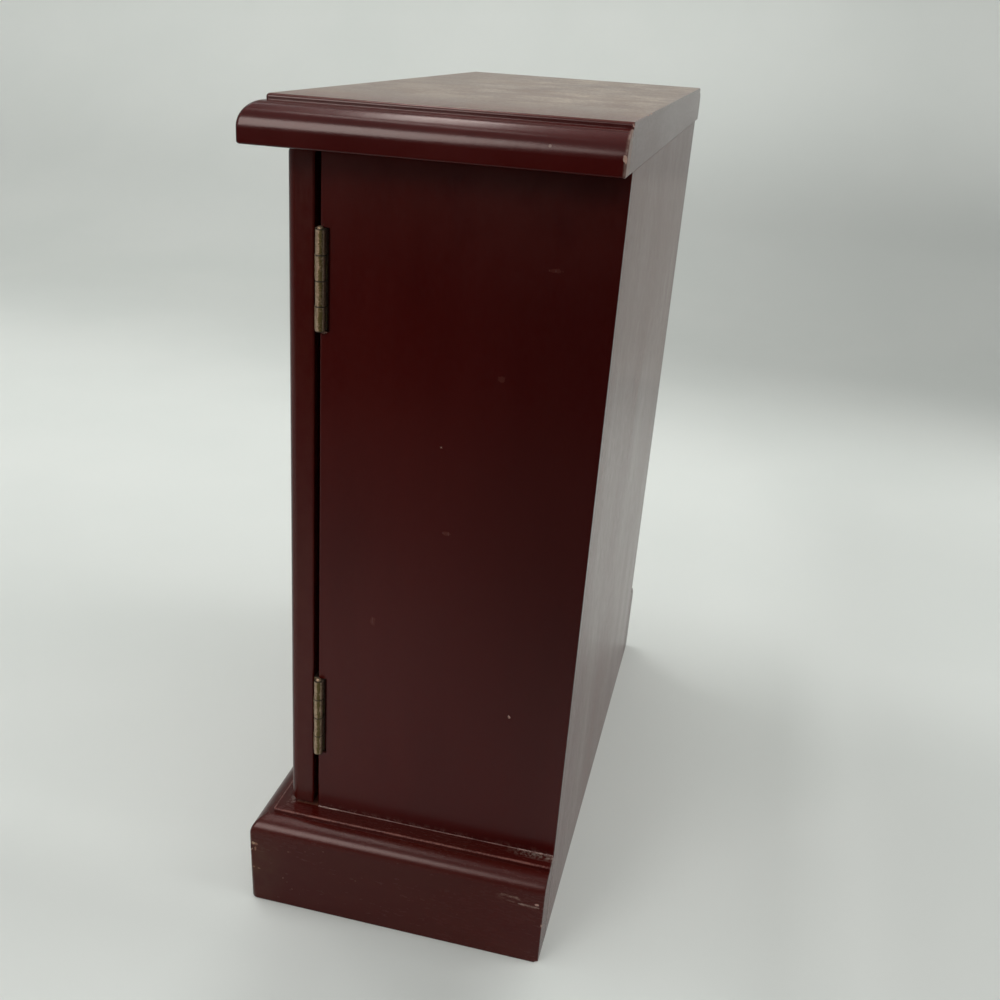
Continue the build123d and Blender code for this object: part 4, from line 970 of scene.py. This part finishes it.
softbox("ceiling_lamp", (-0.12, -0.58, 2.2), (-0.12, -0.10, 0.1), (0.76, 0.20), 8.0, part="fill")
softbox("ceiling_strip", (-0.26, -0.53, 2.2), (-0.26, -0.10, 0.1), (1.25, 0.205), 10.3, colour=(1.0, 0.885, 0.835), part="sheen")
softbox("ceiling_tail", (0.66, -0.60, 2.15), (0.10, -0.05, 0.3), (0.60, 0.12), 2.2, colour=(1.0, 0.885, 0.835), part="sheen")
softbox("side_lamp", (1.66, -0.86, 1.14), (0.10, 0.0, 0.2), (0.85, 0.50), 7.0, part="fill")
softbox("side_panel_lamp", (1.55, -0.70, 0.915), (0.16, 0.0, 0.30), (0.78, 0.86), 20.3, colour=(1.0, 0.885, 0.83), part="sheen")
softbox("side_panel_edge", (1.62, -0.20, 0.90), (0.16, 0.03, 0.35), (0.30, 0.36), 1.35, colour=(1.0, 0.885, 0.83), part="sheen")
softbox("backdrop_lamp", (-0.85, -1.20, 1.9), (-1.75, -0.45, 0.45), (0.8, 0.5), 2.5)
softbox("fill_lamp", (-0.15, 1.80, 1.45), (0.0, 0.1, 0.1), (1.2, 1.2), 13.0, part="fill")
softbox("back_sheen", (-0.15, 1.80, 1.45), (0.0, 0.1, 0.1), (1.2, 1.2), 13.6, colour=(1.0, 0.95, 0.89), part="sheen")
softbox("back_glow", (-0.85, 0.18, 0.11), (0.10, 0.12, 0.28), (0.46, 0.24), 0.033, colour=(1.0, 0.92, 0.80), part="sheen")


def studio_world():
    """Soft light from a pale ceiling, dim towards the camera's side, so the gloss has something to show."""
    world = bpy.data.worlds.new("studio")
    scene.world = world
    world.use_nodes = True
    wt = world.node_tree
    bg = wt.nodes["Background"]
    split = wt.nodes.new("ShaderNodeSeparateXYZ")
    wt.links.new(wt.nodes.new("ShaderNodeTexCoord").outputs["Generated"], split.inputs[0])
    x, y, z = split.outputs

    def rng(v, lo, hi, a, b):
        n = wt.nodes.new("ShaderNodeMapRange")
        n.interpolation_type = "SMOOTHSTEP"
        for s, val in zip(n.inputs, (v, lo, hi, a, b)):
            if isinstance(val, bpy.types.NodeSocket):
                wt.links.new(val, s)
            else:
                s.default_value = val
        return n.outputs[0]

    def calc(op, a, b):
        n = wt.nodes.new("ShaderNodeMath")
        n.operation = op
        for s, val in zip(n.inputs, (a, b)):
            if isinstance(val, bpy.types.NodeSocket):
                wt.links.new(val, s)
            else:
                s.default_value = val
        return n.outputs[0]

    dim = calc("MULTIPLY", rng(x, 0.10, 0.60, 0.0, 1.0), rng(y, -0.80, -0.50, 0.0, 1.0))
    wall = rng(dim, 0.0, 1.0, 0.50, 0.15)
    level = calc("ADD", calc("MULTIPLY", wall, rng(z, 0.30, 0.80, 1.0, 0.0)), rng(z, 0.25, 0.66, 0.0, SKY))
    level = calc("MULTIPLY", level, rng(z, -0.09, -0.01, 0.16, 1.0))
    mixed = wt.nodes.new("ShaderNodeCombineColor")
    for s, k in zip(mixed.inputs, (0.985, 1.0, 0.985)):
        wt.links.new(calc("MULTIPLY", level, k), s)
    wt.links.new(mixed.outputs[0], bg.inputs[0])
    bg.inputs[1].default_value = 1.0


SKY = 0.66
studio_world()

# ------------------------------------------------------------------ camera
cam_data = bpy.data.cameras.new("camera")
cam_data.sensor_width = 36.0
cam_data.lens = 41.458
cam_data.shift_x, cam_data.shift_y = 0.037474, 0.067736
cam_data.clip_start, cam_data.clip_end = 0.01, 20.0
cam = bpy.data.objects.new("camera", cam_data)
scene.collection.objects.link(cam)
axes = Matrix(((-0.25347494, 0.96564331, 0.05730133),
               (-0.40350304, -0.15938166, 0.90098989),
               (0.87916764, 0.20525710, 0.43003927))).transposed()
cam.matrix_world = Matrix.Translation((0.549428, 0.115305, 0.382988)) @ axes.to_4x4()
scene.camera = cam

scene.view_settings.view_transform = "Standard"
scene.cycles.use_denoising = True
